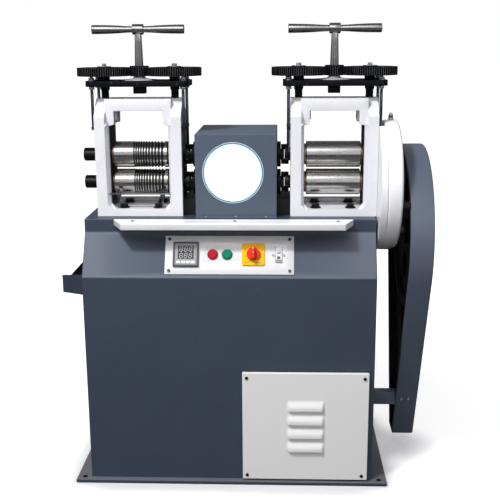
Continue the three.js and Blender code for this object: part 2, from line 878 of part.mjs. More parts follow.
function pressureScrew(x, side) {
  return latheZ([
    [0, upperChockTop + seat], [screwRadius - 2, upperChockTop + seat],
    [screwRadius, upperChockTop + seat + 2],
    [screwRadius, bridgeBottom - seat - screwCollarThick],
    [screwCollarRadius, bridgeBottom - seat - screwCollarThick],
    [screwCollarRadius, bridgeBottom - seat], [screwRadius, bridgeBottom - seat],
    [screwRadius, gearTop + screwTopProud], [0, gearTop + screwTopProud],
  ], x + side * gearSpread, rollY, smallSteps);
}

// Handle stem: spigot, pinion, tapered stem and cross hub in one piece
function handleStem(x) {
  const stem = latheZ([
    [0, bridgeBottom - bridgeBossDrop + 2], [spigotRadius, bridgeBottom - bridgeBossDrop + 2],
    [spigotRadius, bridgeTop + bridgeFlangeThick + seat],
    [stemFootRadius, bridgeTop + bridgeFlangeThick + seat], [stemFootRadius, pinionTop],
    [stemTopRadius, handleHeight - handleHubRadius * 0.8], [stemTopRadius, handleHeight],
    [0, handleHeight],
  ], 0, 0);
  const pinion = alongZ(gearOutline(pinionTeeth, gearModule, gearBacklash),
    pinionBottom, pinionTop);
  const hub = shaftX(handleHubRadius, -handleHubLength / 2, handleHubLength / 2,
    0, handleHeight, boreSteps);
  const crossHole = shaftX(handleNeckRadius + seat, -handleHubLength, handleHubLength,
    0, handleHeight);
  return cut(join(stem, pinion, hub), crossHole).translate(x, rollY, 0);
}

// Cross bar, thinner in the hub and swelling towards the grips
function handleBar(x) {
  const half = handleLength / 2;
  const hubHalf = handleHubLength / 2 + 2;
  const wing = [
    [handleNeckRadius, hubHalf], [handleNeckRadius + 1, hubHalf + 20],
    [handleEndRadius - 0.7, half * 0.62], [handleEndRadius, half - 3],
    [handleEndRadius - 2.5, half], [0, half],
  ];
  const profile = [...wing.map(([r, t]) => [r, -t]).reverse(), ...wing];
  return latheX(profile, rollY, handleHeight).translate(x, 0, 0);
}

// Guide bar on two studs that stand on the left housing's sill
function guideBar(x) {
  const half = windowHalf - 2;
  const rear = rollY - sideWindowHalf;
  const bar = block(-half, half, rear - guideDepth, rear, guideBottom, guideBottom + guideThick);
  const studs = [-1, 1].map((side) => shaftZ(guideStudRadius, sillTop + seat,
    guideBottom + guideThick + guideStudProud, side * (windowHalf - guideStudInset),
    rear - guideDepth / 2, smallSteps));
  return join(bar, ...studs).translate(x, 0, 0);
}

// Gearbox stand: a bed between the housings and two bearing walls
function gearboxStand() {
  const reach = headOffset - housingWidth / 2 - seat;
  const bed = block(-reach, reach, bedFront, bedRear, tableSeat, bedTop);
  const walls = [-1, 1].map((side) => block(
    Math.min(side * standInner, side * standOuter), Math.max(side * standInner, side * standOuter),
    rollY - standHalfDepth, rollY + standHalfDepth, bedTop - 1, standTop));
  const bores = [lowerRollZ, upperRollZ].map((z) => boreX(
    driveJournalRadius + running, -standOuter - 1, standOuter + 1, rollY, z));
  const relief = block(-standInner, standInner, rollY - standHalfDepth, rollY + standHalfDepth,
    bedTop - standRelief, bedTop + 1);
  return cut(join(bed, ...walls), ...bores, relief).translate(gearboxX, 0, 0);
}

// Gear shaft of the gearbox, with a spigot for a coupling at each end
function gearShaft(z, phase) {
  const tip = couplingFace - headOffset;
  const steps = [
    [driveCollarRadius, driveGearHalf - 1], [driveCollarRadius, standInner - seat],
    [driveJournalRadius, standInner - seat], [driveJournalRadius, standOuter + 2],
    [driveSpigotRadius, standOuter + 2], [driveSpigotRadius, -tip], [0, -tip],
  ];
  const profile = [...steps.map(([r, t]) => [r, -t]).reverse(), ...steps];
  const wheel = alongX(gearOutline(driveGearTeeth, driveGearModule, driveBacklash, phase),
    -driveGearHalf, driveGearHalf);
  return join(latheX(profile, 0, 0), wheel).translate(gearboxX, rollY, z);
}

// Coupling on a gear shaft, its two jaws between the roll's wings
function coupling(z, towards) {
  const bore = driveSpigotRadius + seat;
  const face = headOffset - couplingFace;
  const disc = latheX([
    [bore, face - couplingThick - couplingHubLength],
    [couplingHubRadius, face - couplingThick - couplingHubLength],
    [couplingHubRadius, face - couplingThick], [couplingRadius, face - couplingThick],
    [couplingRadius, face], [bore, face], [bore, face - couplingThick - couplingHubLength],
  ], 0, 0);
  const jaws = [0, Math.PI].map((angle) => alongX(
    sector(wingInner + 4, couplingRadius, angle), face - 1, face + couplingJaw));
  const body = join(disc, ...jaws);
  return (towards > 0 ? body : body.rotateZ(Math.PI)).translate(gearboxX, rollY, z);
}

// Gearbox cover: an open box with a front flange and slots over the necks and the bed
function gearboxCover() {
  const outer = block(-coverHalf, coverHalf, coverFront, coverRear, tableSeat, coverTop);
  const hollow = block(-coverHalf + coverSheet, coverHalf - coverSheet, coverFront + coverSheet,
    coverRear - coverSheet, tableSeat - 1, coverTop - coverSheet);
  const flange = block(-coverHalf, coverHalf, coverFront - coverFlange, coverFront + 1,
    tableSeat, tableSeat + coverSheet);
  const bedSlot = block(-coverHalf - 1, coverHalf + 1, bedFront - seat * 2, bedRear + seat * 2,
    tableSeat - 1, bedTop + seat * 2);
  const neckSlot = alongX([
    [rollY - coverNeckGap, bedTop - 1], [rollY + coverNeckGap, bedTop - 1],
    ...arc(rollY, upperRollZ, coverNeckGap, 0, Math.PI, smallSteps),
  ], -coverHalf - 1, coverHalf + 1);
  return cut(join(outer, flange), hollow, bedSlot, neckSlot).translate(gearboxX, 0, 0);
}

// Reducer casing: a drum with a lower lobe for the pinion shaft, bolted to the cabinet's side
function reducerCasing() {
  const drumCentre = [rollY, lowerRollZ - casingDrop];
  const lobeCentre = [pulleyY, pulleyZ];
  const outline = beltOutline(drumCentre, casingRadius, lobeCentre, casingLobeRadius,
    largeSteps, smallSteps);
  const length = casingRight - casingLeft;
  const drum = extrude(outline, length, [], casingRound).applyMatrix4(facingX)
    .translate(casingLeft - casingRound, 0, 0);
  const span = casingRadius * 2;
  const squared = common(drum, block(casingLeft, casingRight, rollY - span, rollY + span,
    lowerRollZ - span, lowerRollZ + span));
  const cavity = alongX(beltOutline([rollY, lowerRollZ], casingCavity, lobeCentre,
    casingLobeCavity, largeSteps, smallSteps), casingLeft + casingWall, casingRight - casingWall);
  const padTop = tableHeight - padTopGap;
  const pad = block(cabinetHalf + seat, casingLeft + 1, pulleyY - casingLobeRadius * 0.6,
    pulleyY + casingLobeRadius * 0.6, padTop - padHeight, padTop);
  const bosses = guardBossPlaces().map(([y, z]) => shaftX(
    guardBossRadius, casingRight - 1, guardLeft - seat, y, z, smallSteps));
  const neckBore = boreX(neckRadius + running * 2, casingLeft - 1, casingLeft + casingWall + 1,
    rollY, lowerRollZ);
  const shaftBore = boreX(pulleyShaftRadius + running, casingRight - casingWall - 1,
    casingRight + 1, pulleyY, pulleyZ);
  const notch = block(casingLeft - 1, casingLeft - seat + notchDepth, rollY - chockFlangeHalf - 3,
    rollY + chockFlangeHalf + 3, upperRollZ + upperChockRise - notchDrop, lowerRollZ + span);
  const plugHole = shaftZ(plugRadius - 1, lowerRollZ + casingCavity - 20, lowerRollZ + span,
    casingRight - plugFromEdge, rollY, smallSteps);
  return cut(join(squared, pad, ...bosses), cavity, neckBore, shaftBore, notch, plugHole);
}

// Bosses that carry the guard's return flange, where it crosses a bolt circle on the casing
function guardBossPlaces() {
  const flangeRadius = guardRadius - guardReturn / 2 - guardSheet;
  const boltRadius = casingRadius - casingBossInset;
  const toY = rollY - pulleyY;
  const toZ = lowerRollZ - casingDrop - pulleyZ;
  const distance = Math.hypot(toY, toZ);
  const lean = Math.acos((distance ** 2 + flangeRadius ** 2 - boltRadius ** 2)
    / (2 * distance * flangeRadius));
  return [-lean, lean].map((turn) => {
    const angle = Math.atan2(toZ, toY) + turn;
    return [pulleyY + flangeRadius * Math.cos(angle), pulleyZ + flangeRadius * Math.sin(angle)];
  });
}

// Filler plug on top of the drum, its shank in the hole
function fillerPlug() {
  const foot = lowerRollZ - casingDrop + casingRadius + seat;
  return latheZ([
    [0, foot - plugShank], [plugRadius - 1 - seat, foot - plugShank],
    [plugRadius - 1 - seat, foot], [plugFlangeRadius, foot], [plugFlangeRadius, foot + 3],
    [plugRadius, foot + 3],
    [plugRadius, foot + plugHeight * 0.7], [plugRadius * 0.8, foot + plugHeight * 0.92],
    [0, foot + plugHeight],
  ], casingRight - plugFromEdge, rollY, smallSteps);
}

// Reducer gear on the right lower roll's neck; a tooth points at the pinion
function reducerGear() {
  const bore = neckRadius + seat;
  const wheel = alongX(gearOutline(reducerTeeth, reducerModule, reducerBacklash, pinionAxis),
    reducerLeft, reducerRight);
  const hub = shaftX(reducerHubRadius, casingLeft + casingWall + seat,
    casingRight - casingWall - seat * 3, 0, 0);
  const hole = shaftX(bore, casingLeft, casingRight, 0, 0, rollSteps);
  return cut(join(wheel, hub), hole).translate(0, rollY, lowerRollZ);
}

// Pinion shaft from the reducer out to the driven pulley
function pinionShaft() {
  const left = casingLeft + casingWall + seat * 2;
  const right = pulleyCentreX + pulleyWidth / 2 + 4;
  const shaft = shaftX(pulleyShaftRadius, left, right, 0, 0);
  const phase = pinionAxis + Math.PI + Math.PI / reducerPinionTeeth;
  const pinion = alongX(gearOutline(reducerPinionTeeth, reducerModule, reducerBacklash, phase),
    reducerLeft, reducerRight);
  return join(shaft, pinion).translate(0, pulleyY, pulleyZ);
}

// One V groove in a pulley's rim, as lathe points from its left edge to its right edge
function pulleyGroove(radius) {
  const top = beltTopWidth / 2 + seat * 1.5;
  const bottom = beltBottomWidth / 2 + seat;
  const floor = radius - beltDepth + beltProud - seat * 3;
  return [[radius, -top], [floor, -bottom], [floor, bottom], [radius, top]];
}

function drivenPulley() {
  const half = pulleyWidth / 2;
  const web = drivenWebThick / 2;
  const rim = drivenPulleyRadius - drivenRimThick;
  const bore = pulleyShaftRadius + seat;
  const body = latheX([
    [bore, -half], [drivenHubRadius, -half], [drivenHubRadius, -web], [rim, -web], [rim, -half],
    [drivenPulleyRadius, -half], ...pulleyGroove(drivenPulleyRadius),
    [drivenPulleyRadius, half], [rim, half], [rim, web], [drivenHubRadius, web],
    [drivenHubRadius, half], [bore, half], [bore, -half],
  ], 0, 0, largeSteps);
  const holes = [];
  for (let i = 0; i < drivenHoleCount; i += 1) {
    const angle = 2 * Math.PI * i / drivenHoleCount;
    holes.push(shaftX(drivenHoleRadius, -half, half, drivenHoleCircle * Math.cos(angle),
      drivenHoleCircle * Math.sin(angle), smallSteps));
  }
  return cut(body, ...holes).translate(pulleyCentreX, pulleyY, pulleyZ);
}

// Motor pulley in one piece with the motor's shaft
function motorPulley() {
  const half = pulleyWidth / 2;
  return latheX([
    [0, motorLeft + 30 - pulleyCentreX], [motorShaftRadius, motorLeft + 30 - pulleyCentreX],
    [motorShaftRadius, -half], [motorPulleyRadius, -half], ...pulleyGroove(motorPulleyRadius),
    [motorPulleyRadius, half], [0, half],
  ], motorY, motorZ).translate(pulleyCentreX, 0, 0);
}

// V belt: a tapered section swept round both pulleys and closed on itself.
// The middles of its facets lie at the belt's own radii.
function driveBelt() {
  const centreA = [pulleyY, pulleyZ];
  const centreB = [motorY, motorZ];
  const distance = Math.hypot(motorY - pulleyY, motorZ - pulleyZ);
  const lean = Math.acos((drivenPulleyRadius - motorPulleyRadius) / distance);
  const scaleA = 1 / Math.cos((Math.PI - lean) / largeSteps);
  const scaleB = 1 / Math.cos(lean / smallSteps);
  const loop = (inset) => beltOutline(
    centreA, (drivenPulleyRadius + beltProud - inset) * scaleA,
    centreB, (motorPulleyRadius + beltProud - inset) * scaleB, largeSteps, smallSteps);
  const outside = loop(0);
  const inside = loop(beltDepth);
  const count = outside.length;
  const section = (i) => [
    [beltTopWidth / 2, outside[i]], [-beltTopWidth / 2, outside[i]],
    [-beltBottomWidth / 2, inside[i]], [beltBottomWidth / 2, inside[i]],
  ];
  const positions = [];
  for (let i = 0; i < count; i += 1) {
    for (const [x, [y, z]] of section(i)) {
      positions.push(pulleyCentreX + x, y, z);
    }
  }
  const index = [];
  for (let i = 0; i < count; i += 1) {
    for (let k = 0; k < 4; k += 1) {
      const a = i * 4 + k;
      const b = i * 4 + (k + 1) % 4;
      const c = ((i + 1) % count) * 4 + k;
      const d = ((i + 1) % count) * 4 + (k + 1) % 4;
      index.push(a, b, c, b, d, c);
    }
  }
  const belt = new THREE.BufferGeometry();
  belt.setAttribute('position', new THREE.Float32BufferAttribute(positions, 3));
  belt.setIndex(index);
  return belt;
}

// Guard outline: the pulley's circle, then straight edges down to a narrow foot
function guardOutline(inset) {
  const radius = guardRadius - inset;
  const foot = guardBottom + inset;
  const edge = (footY) => {
    const toY = footY - pulleyY;
    const toZ = foot - pulleyZ;
    return [Math.atan2(toZ, toY), Math.acos(radius / Math.hypot(toY, toZ))];
  };
  const front = guardFootFront + inset;
  const rear = guardFootRear - inset;
  const [rearAngle, rearLean] = edge(rear);
  const [frontAngle, frontLean] = edge(front);
  return [
    [front, foot], [rear, foot],
    ...arc(pulleyY, pulleyZ, radius, rearAngle + rearLean,
      frontAngle - frontLean + 2 * Math.PI, largeSteps),
  ];
}

// Belt guard: outer plate, rim wall and return flange, with its bracket to the cabinet
function beltGuard() {
  const shell = cut(
    alongX(guardOutline(0), guardLeft, guardRight),
    alongX(guardOutline(guardSheet), guardLeft + guardSheet, guardRight - guardSheet),
    alongX(guardOutline(guardSheet + guardReturn), guardLeft - 1, guardLeft + guardSheet + 1),
  );
  const bracket = block(cabinetHalf + seat, guardLeft + guardSheet,
    guardBracketFront, guardBracketRear, guardBracketBottom, guardBracketTop);
  return join(shell, bracket);
}

// Motor with cooling fins, end shields, feet and terminal box
function motor() {
  const fins = [];
  for (let i = 0; i < motorFins; i += 1) {
    const pitch = 2 * Math.PI / motorFins;
    const root = motorRadius - motorFinDepth;
    for (const [radius, share] of [[root, 0.1], [root, 0.6], [motorRadius, 0.68],
      [motorRadius, 0.92]]) {
      const angle = pitch * (i + share);
      fins.push([radius * Math.cos(angle), radius * Math.sin(angle)]);
    }
  }
  const rearEnd = motorLeft + motorShield;
  const frontEnd = motorRight - motorFrontShield;
  const barrel = alongX(shifted(fins, motorY, motorZ), rearEnd - 2, frontEnd + 1);
  const shields = latheX([
    [0, motorLeft], [motorRadius * 0.7, motorLeft], [motorRadius, motorLeft + motorShield / 4],
    [motorRadius, rearEnd], [motorRadius * 0.6, rearEnd + 1],
    [motorRadius * 0.6, frontEnd - 1], [motorRadius, frontEnd],
    [motorRadius * 0.5, motorRight], [0, motorRight],
  ], motorY, motorZ);
  const feet = [];
  for (const side of [-1, 1]) {
    const inner = motorY + side * motorFootHalf * 0.45;
    const outer = motorY + side * motorFootHalf;
    feet.push(block(motorFootLeft, motorFootRight, Math.min(inner, outer),
      Math.max(inner, outer), motorBaseTop + seat, motorBaseTop + seat + motorFootThick));
    feet.push(block(motorFootLeft, motorFootRight, Math.min(inner, inner + side * 14),
      Math.max(inner, inner + side * 14), motorBaseTop + seat, motorZ - motorRadius * 0.6));
  }
  const centreX = (motorLeft + motorRight) / 2;
  const box = block(centreX - motorBoxHalf, centreX + motorBoxHalf, motorY - motorBoxHalf,
    motorY + motorBoxHalf, motorZ + motorRadius * 0.5, motorZ + motorRadius + motorBoxRise);
  const bore = boreX(motorShaftRadius + running, motorLeft + 28, motorRight + 1, motorY, motorZ);
  return cut(join(barrel, shields, ...feet, box), bore);
}

// Folded channel that the motor stands on
function motorBase() {
  const half = motorFootHalf + 6;
  const bottom = baseThick + seat;
  return cut(
    block(motorFootLeft - 10, motorFootRight + 10, motorY - half, motorY + half, bottom,
      motorBaseTop),
    block(motorFootLeft - 20, motorFootRight + 20, motorY - half + motorBaseSheet,
      motorY + half - motorBaseSheet, bottom - 1, motorBaseTop - motorBaseSheet),
  );
}

// Console pieces are drawn flat: X across, Y up the slope, Z out of the face
function controlPanel() {
  const holes = [
    rectangle(meterX - meterCase / 2 - bolted, meterX + meterCase / 2 + bolted,
      controlsUp - meterCase / 2 - bolted, controlsUp + meterCase / 2 + bolted),
    ring(redButtonX, controlsUp, buttonHoleRadius, boreSteps),
    ring(greenButtonX, controlsUp, buttonHoleRadius, boreSteps),
    ring(switchX, controlsUp, knobSpigotRadius * 2, boreSteps),
    rectangle(breakerX - breakerWidth / 2 - bolted, breakerX + breakerWidth / 2 + bolted,
      controlsUp - breakerHeight / 2 - bolted, controlsUp + breakerHeight / 2 + bolted),
  ];
  const outline = rectangle(panelCentreX - panelWidth / 2, panelCentreX + panelWidth / 2,
    panelCentreUp - panelHeight / 2, panelCentreUp + panelHeight / 2);
  const plate = alongZ(outline, seat, seat + panelThick, holes);
  const bezels = [redButtonX, greenButtonX].map((x) => alongZ(
    ring(x, controlsUp, bezelRadius, boreSteps), seat + panelThick - 1,
    seat + panelThick + bezelProud, [ring(x, controlsUp, buttonHoleRadius, boreSteps)]));
  return join(plate, ...bezels);
}

const panelFace = seat + panelThick;

function digitalMeter() {
  const half = meterSize / 2;
  const bezel = alongZ(rectangle(meterX - half, meterX + half, controlsUp - half,
    controlsUp + half, 2), panelFace + seat, panelFace + seat + meterProud);
  const window = block(meterX - half + 5, meterX + half - 5, controlsUp - half + 5,
    controlsUp + half - 5, panelFace + meterProud - 1.5, panelFace + meterProud + 2);
  const body = block(meterX - meterCase / 2, meterX + meterCase / 2, controlsUp - meterCase / 2,
    controlsUp + meterCase / 2, panelFace - meterDepth, panelFace + seat + 1);
  return cut(join(bezel, body), window);
}

function pushButton(x) {
  const cap = buttonHoleRadius - running;
  const top = panelFace + buttonProud;
  return latheZ([
    [0, panelFace - buttonStemLength], [buttonStemRadius, panelFace - buttonStemLength],
    [buttonStemRadius, panelFace - panelThick - 4], [cap, panelFace - panelThick - 4],
    [cap, top - 1], [cap - 1, top], [cap - 3, top - 0.6], [0, top - 0.6],
  ], x, controlsUp, boreSteps);
}

function switchPlate() {
  const half = switchPlateSize / 2;
  const bore = ring(switchX, controlsUp, knobSpigotRadius + running, boreSteps);
  const plate = alongZ(rectangle(switchX - half, switchX + half, controlsUp - half,
    controlsUp + half, 2), panelFace + seat, panelFace + seat + switchPlateThick, [bore]);
  const collar = alongZ(ring(switchX, controlsUp, switchCollarRadius, roundSteps),
    panelFace + seat + switchPlateThick - 1,
    panelFace + seat + switchPlateThick + switchCollarThick, [bore]);
  return join(plate, collar);
}

// Switch knob: disc, pointed grip and spigot through the plate
function switchKnob() {
  const foot = panelFace + switchPlateThick + switchCollarThick + seat * 2;
  const disc = latheZ([
    [0, panelFace - 10], [knobSpigotRadius, panelFace - 10], [knobSpigotRadius, foot],
    [knobRadius, foot], [knobRadius, foot + knobThick - 1], [knobRadius - 1, foot + knobThick],
    [0, foot + knobThick],
  ], 0, 0);
  const half = knobGripWidth / 2;
  const length = knobGripLength / 2;
  const grip = alongZ([
    [-half, -length + 2], [half, -length + 2], [half, length - 5], [0, length], [-half, length - 5],
  ], foot + knobThick - 1, foot + knobThick + knobGripProud);
  return join(disc, grip).translate(switchX, controlsUp, 0);
}

function breakerBody() {
  const body = block(-breakerWidth / 2, breakerWidth / 2, -breakerHeight / 2, breakerHeight / 2,
    panelFace - breakerDepth, panelFace + breakerProud);
  const slot = block(-breakerSlotWidth / 2, breakerSlotWidth / 2, -breakerSlotHeight / 2,
    breakerSlotHeight / 2, panelFace - leverReach, panelFace + breakerProud + 1);
  return cut(body, slot).translate(breakerX, controlsUp, 0);
}

// Breaker lever: a round root on the pivot and a short toggle, tilted up when on
function breakerLever() {
  const root = shaftX(leverPivotRadius, -leverWidth / 2, leverWidth / 2, 0, 0);
  const toggle = block(-leverWidth / 2, leverWidth / 2, -leverThick / 2, leverThick / 2,
    0, leverReach).rotateX(-THREE.MathUtils.degToRad(leverTilt));
  return join(root, toggle).translate(breakerX, controlsUp, panelFace - 4);
}

// Frame
add(mill, 'base_plate', basePlate(), slatePaint);
add(mill, 'cabinet_shell', cabinetShell(), slatePaint);
add(mill, 'access_cover', accessCover(), coverPaint);
add(mill, 'work_rest', workRest(), whitePaint);
add(mill, 'side_tray', sideTray(), slatePaint);
add(mill, 'motor', motor(), motorPaint);
add(mill, 'motor_base', motorBase(), darkCast);

// Console
const consoleFace = new THREE.Group();
consoleFace.position.set(0, cabinetFront, kneeHeight);
consoleFace.rotation.x = consoleSlope;
mill.add(consoleFace);
add(consoleFace, 'control_panel', controlPanel(), whitePaint);
add(consoleFace, 'digital_meter', digitalMeter(), blackPlastic);
add(consoleFace, 'red_button', pushButton(redButtonX), redPlastic);
add(consoleFace, 'green_button', pushButton(greenButtonX), greenPlastic);
add(consoleFace, 'switch_plate', switchPlate(), yellowPlastic);
add(consoleFace, 'switch_knob', switchKnob(), redPlastic);
add(consoleFace, 'breaker_body', breakerBody(), blackPlastic);
add(consoleFace, 'breaker_lever', breakerLever(), whitePlastic);

// Heads
for (const [head, towards] of [['left', 1], ['right', -1]]) {
  const x = gearboxX - towards * headOffset;
  const grooved = head === 'left';
  add(mill, `${head}_housing`, housing(x), whitePaint);
  for (const [place, side] of [['inner', towards], ['outer', -towards]]) {
    add(mill, `${head}_${place}_bottom_chock`, bottomChock(x, side), darkCast);
    add(mill, `${head}_${place}_top_chock`, topChock(x, side), darkCast);
    add(mill, `${head}_${place}_gear`, screwGear(x, side), blackSteel);
    add(mill, `${head}_${place}_screw`, pressureScrew(x, side), blackSteel);
  }
  const stub = housingWidth / 2 + neckStub;
  const upperEnd = grooved ? stub : housingWidth / 2 - seat;
  const lowerEnd = grooved ? stub : casingRight - casingWall - seat - x;
  add(mill, `${head}_upper_roll`, roll(x, upperRollZ, upperEnd, grooved, towards), polishedSteel);
  add(mill, `${head}_lower_roll`, roll(x, lowerRollZ, lowerEnd, grooved, towards), polishedSteel);
  add(mill, `${head}_bridge_plate`, bridgePlate(x), blackSteel);
  add(mill, `${head}_handle_stem`, handleStem(x), brightSteel);
  add(mill, `${head}_handle_bar`, handleBar(x), brightSteel);
  add(mill, `${head}_upper_coupling`, coupling(upperRollZ, -towards), blackSteel);
  add(mill, `${head}_lower_coupling`, coupling(lowerRollZ, -towards), blackSteel);
}
add(mill, 'left_guide_bar', guideBar(gearboxX - headOffset), brightSteel);

// Gearbox
add(mill, 'gearbox_stand', gearboxStand(), darkCast);
add(mill, 'gearbox_cover', gearboxCover(), slatePaint);
add(mill, 'lower_gear_shaft', gearShaft(lowerRollZ, 0), brightSteel);
add(mill, 'upper_gear_shaft', gearShaft(upperRollZ, Math.PI / driveGearTeeth), brightSteel);

// Reducer and belt drive
add(mill, 'reducer_casing', reducerCasing(), whitePaint);
add(mill, 'filler_plug', fillerPlug(), brightSteel);
add(mill, 'reducer_gear', reducerGear(), brightSteel);
add(mill, 'pinion_shaft', pinionShaft(), brightSteel);
add(mill, 'driven_pulley', drivenPulley(), darkCast);
add(mill, 'motor_pulley', motorPulley(), darkCast);
add(mill, 'drive_belt', driveBelt(), blackRubber);
add(mill, 'belt_guard', beltGuard(), slatePaint);

export default mill;
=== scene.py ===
"""A double head jewellers rolling mill on its floor cabinet, dressed for the photograph."""
import json
import math

import bmesh
import bpy
from mathutils import Matrix, Vector

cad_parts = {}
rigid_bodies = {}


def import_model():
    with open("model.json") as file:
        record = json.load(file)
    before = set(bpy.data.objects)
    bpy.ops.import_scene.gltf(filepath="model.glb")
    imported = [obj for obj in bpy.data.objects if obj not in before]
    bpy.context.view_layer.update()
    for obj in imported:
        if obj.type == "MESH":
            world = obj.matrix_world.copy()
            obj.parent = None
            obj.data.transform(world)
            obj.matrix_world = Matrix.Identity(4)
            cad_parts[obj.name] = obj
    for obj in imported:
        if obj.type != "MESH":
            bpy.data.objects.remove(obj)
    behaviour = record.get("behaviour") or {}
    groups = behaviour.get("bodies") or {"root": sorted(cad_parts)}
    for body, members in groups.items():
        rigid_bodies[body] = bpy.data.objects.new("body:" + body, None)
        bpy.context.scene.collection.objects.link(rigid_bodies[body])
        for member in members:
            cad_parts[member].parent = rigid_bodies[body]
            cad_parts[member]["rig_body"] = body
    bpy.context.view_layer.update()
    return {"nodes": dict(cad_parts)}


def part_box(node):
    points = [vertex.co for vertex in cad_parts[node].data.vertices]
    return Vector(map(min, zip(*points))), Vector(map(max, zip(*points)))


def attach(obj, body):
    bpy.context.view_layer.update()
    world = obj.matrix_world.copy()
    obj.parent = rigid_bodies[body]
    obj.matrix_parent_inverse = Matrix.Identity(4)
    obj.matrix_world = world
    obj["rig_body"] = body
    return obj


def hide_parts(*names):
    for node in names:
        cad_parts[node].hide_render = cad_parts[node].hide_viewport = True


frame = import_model()
MM = 0.001

# Camera, in millimetres: where it stands, and the directions of its frame
EYE = Vector((149.4, -2540.0, 1261.0))
SIGHT = Vector((-0.0374, 0.9714, -0.2341))
TOP_OF_FRAME = Vector((-0.0029, 0.2344, 0.9722))
LENS = 62.35


def link(name, data):
    """A new object in the scene."""
    made = bpy.data.objects.new(name, data)
    bpy.context.scene.collection.objects.link(made)
    return made


def aim_camera():
    data = bpy.data.cameras.new("view")
    data.lens = LENS
    data.sensor_width = 36.0
    data.clip_start, data.clip_end = 0.05, 200.0
    camera = link("view", data)
    back = -SIGHT.normalized()
    across = TOP_OF_FRAME.normalized().cross(back).normalized()
    turn = Matrix((across, back.cross(across), back)).transposed()
    camera.matrix_world = Matrix.Translation(EYE * MM) @ turn.to_4x4()
    bpy.context.scene.camera = camera
    bpy.context.scene.view_settings.view_transform = "Standard"


aim_camera()


# Shader building
class Sock:
    """A node's output, which adds Math nodes as an expression uses it."""

    def __init__(self, net, out):
        self.net = net
        self.out = out

    def math(self, operation, other):
        return self.net.node("ShaderNodeMath", {"operation": operation},
                             {"Value": self, "Value_001": other})

    def __add__(self, other):
        return self.math("ADD", other)

    __radd__ = __add__

    def __sub__(self, other):
        return self.math("SUBTRACT", other)

    def __mul__(self, other):
        return self.math("MULTIPLY", other)

    def above(self, edge, width):
        """0 below the edge and 1 above it, with a soft step of the width between."""
        return self.net.node("ShaderNodeMapRange", {"interpolation_type": "SMOOTHSTEP"}, {
            "Value": self, "From Min": edge - width / 2, "From Max": edge + width / 2,
        })


class Tree:
    """A node tree of the world or of a material."""

    def __init__(self, owner):
        owner.use_nodes = True
        self.tree = owner.node_tree

    def feed(self, slot, value):
        if isinstance(value, Sock):
            self.tree.links.new(value.out, slot)
        else:
            slot.default_value = value

    def node(self, kind, settings, sockets, output=0):
        made = self.tree.nodes.new(kind)
        for key, value in settings.items():
            setattr(made, key, value)
        slots = {slot.identifier: slot for slot in made.inputs}
        for key, value in sockets.items():
            self.feed(slots[key], value)
        return Sock(self, made.outputs[output])

    def end_with(self, last, unseen, seen):
        """One shader for what lights or reflects, and one for what the camera sees directly."""
        direct = self.node("ShaderNodeLightPath", {}, {}, "Is Camera Ray")
        self.feed(self.tree.nodes[last].inputs["Surface"], self.node(
            "ShaderNodeMixShader", {}, {"Fac": direct, "Shader": unseen, "Shader_001": seen}))


class Net(Tree):
    """One material's node tree, with a Principled shader at its end."""

    def __init__(self, name, **constants):
        self.material = bpy.data.materials.new(name)
        super().__init__(self.material)
        self.shader = self.tree.nodes["Principled BSDF"]
        self.dress(**constants)
        self.place = self.node("ShaderNodeTexCoord", {}, {}, "Object")

    def noise(self, scale, detail, stretch=None, rough=0.5):
        where = self.place
        if stretch is not None:
            where = self.node("ShaderNodeVectorMath", {"operation": "MULTIPLY"},
                              {"Vector": where, "Vector_001": stretch})
        return self.node("ShaderNodeTexNoise", {}, {
            "Vector": where, "Scale": scale, "Detail": detail, "Roughness": rough,
        }, "Fac")

    def blend(self, first, second, factor):
        first, second = (c if isinstance(c, Sock) else (*c, 1.0) for c in (first, second))
        return self.node("ShaderNodeMix", {"data_type": "RGBA"},
                         {"Factor_Float": factor, "A_Color": first, "B_Color": second}, 2)

    def relief(self, height, depth, strength):
        return self.node("ShaderNodeBump", {},
                         {"Height": height, "Distance": depth, "Strength": strength})

    def dress(self, **links):
        for socket, value in links.items():
            self.feed(self.shader.inputs[socket.replace("_", " ")], value)
        return self.material


def powder_coat(name, colour, light, rough=0.42, grain=650.0, gloss=0.6):
    """Textured powder coat: a fine orange peel with bright specks and faint dusty patches."""
    net = Net(name, Specular_IOR_Level=gloss)
    patches = net.noise(5.0, 4.0)
    peel = net.noise(grain, 2.0)
    specks = net.noise(grain * 2.2, 0.0).above(0.74, 0.05)
    tone = net.blend(colour, light, patches * 0.55 + peel * 0.25)
    return net.dress(
        Base_Color=net.blend(tone, (0.45, 0.5, 0.58), specks * 0.18),
        Roughness=rough + patches * 0.12 - specks * 0.15,
        Normal=net.relief(peel, 0.00018, 0.55),
    )


def enamel(name, colour, shade, rough=0.3, waviness=38.0):
    """Gloss paint over a casting, with slow waves, a faint peel and grey smudges."""
    net = Net(name, Coat_Weight=0.35, Coat_Roughness=0.12)
    waves = net.noise(waviness, 3.0)
    peel = net.noise(520.0, 1.0)
    smudges = net.noise(9.0, 5.0, rough=0.65).above(0.6, 0.25)
    return net.dress(
        Base_Color=net.blend(colour, shade, smudges * 0.45 + peel * 0.12),
        Roughness=rough + smudges * 0.15 + peel * 0.05,
        Normal=net.relief(waves + peel * 0.12, 0.0005, 0.35),
    )


def oxide(name, colour, light, rough=0.38):
    """Blackened steel with an oily blue cast, fine scratches and a few rubbed spots."""
    net = Net(name, Metallic=0.85)
    cloud = net.noise(24.0, 4.0)
    scratch = net.noise(160.0, 2.0, stretch=(1.0, 6.0, 1.0))
    rubbed = net.noise(60.0, 5.0, rough=0.7).above(0.68, 0.12)
    tone = net.blend(colour, light, cloud * 0.6)
    return net.dress(
        Base_Color=net.blend(tone, (0.22, 0.23, 0.25), rubbed * 0.4),
        Roughness=rough + cloud * 0.14 - rubbed * 0.1,
        Normal=net.relief(scratch, 0.00008, 0.5),
    )


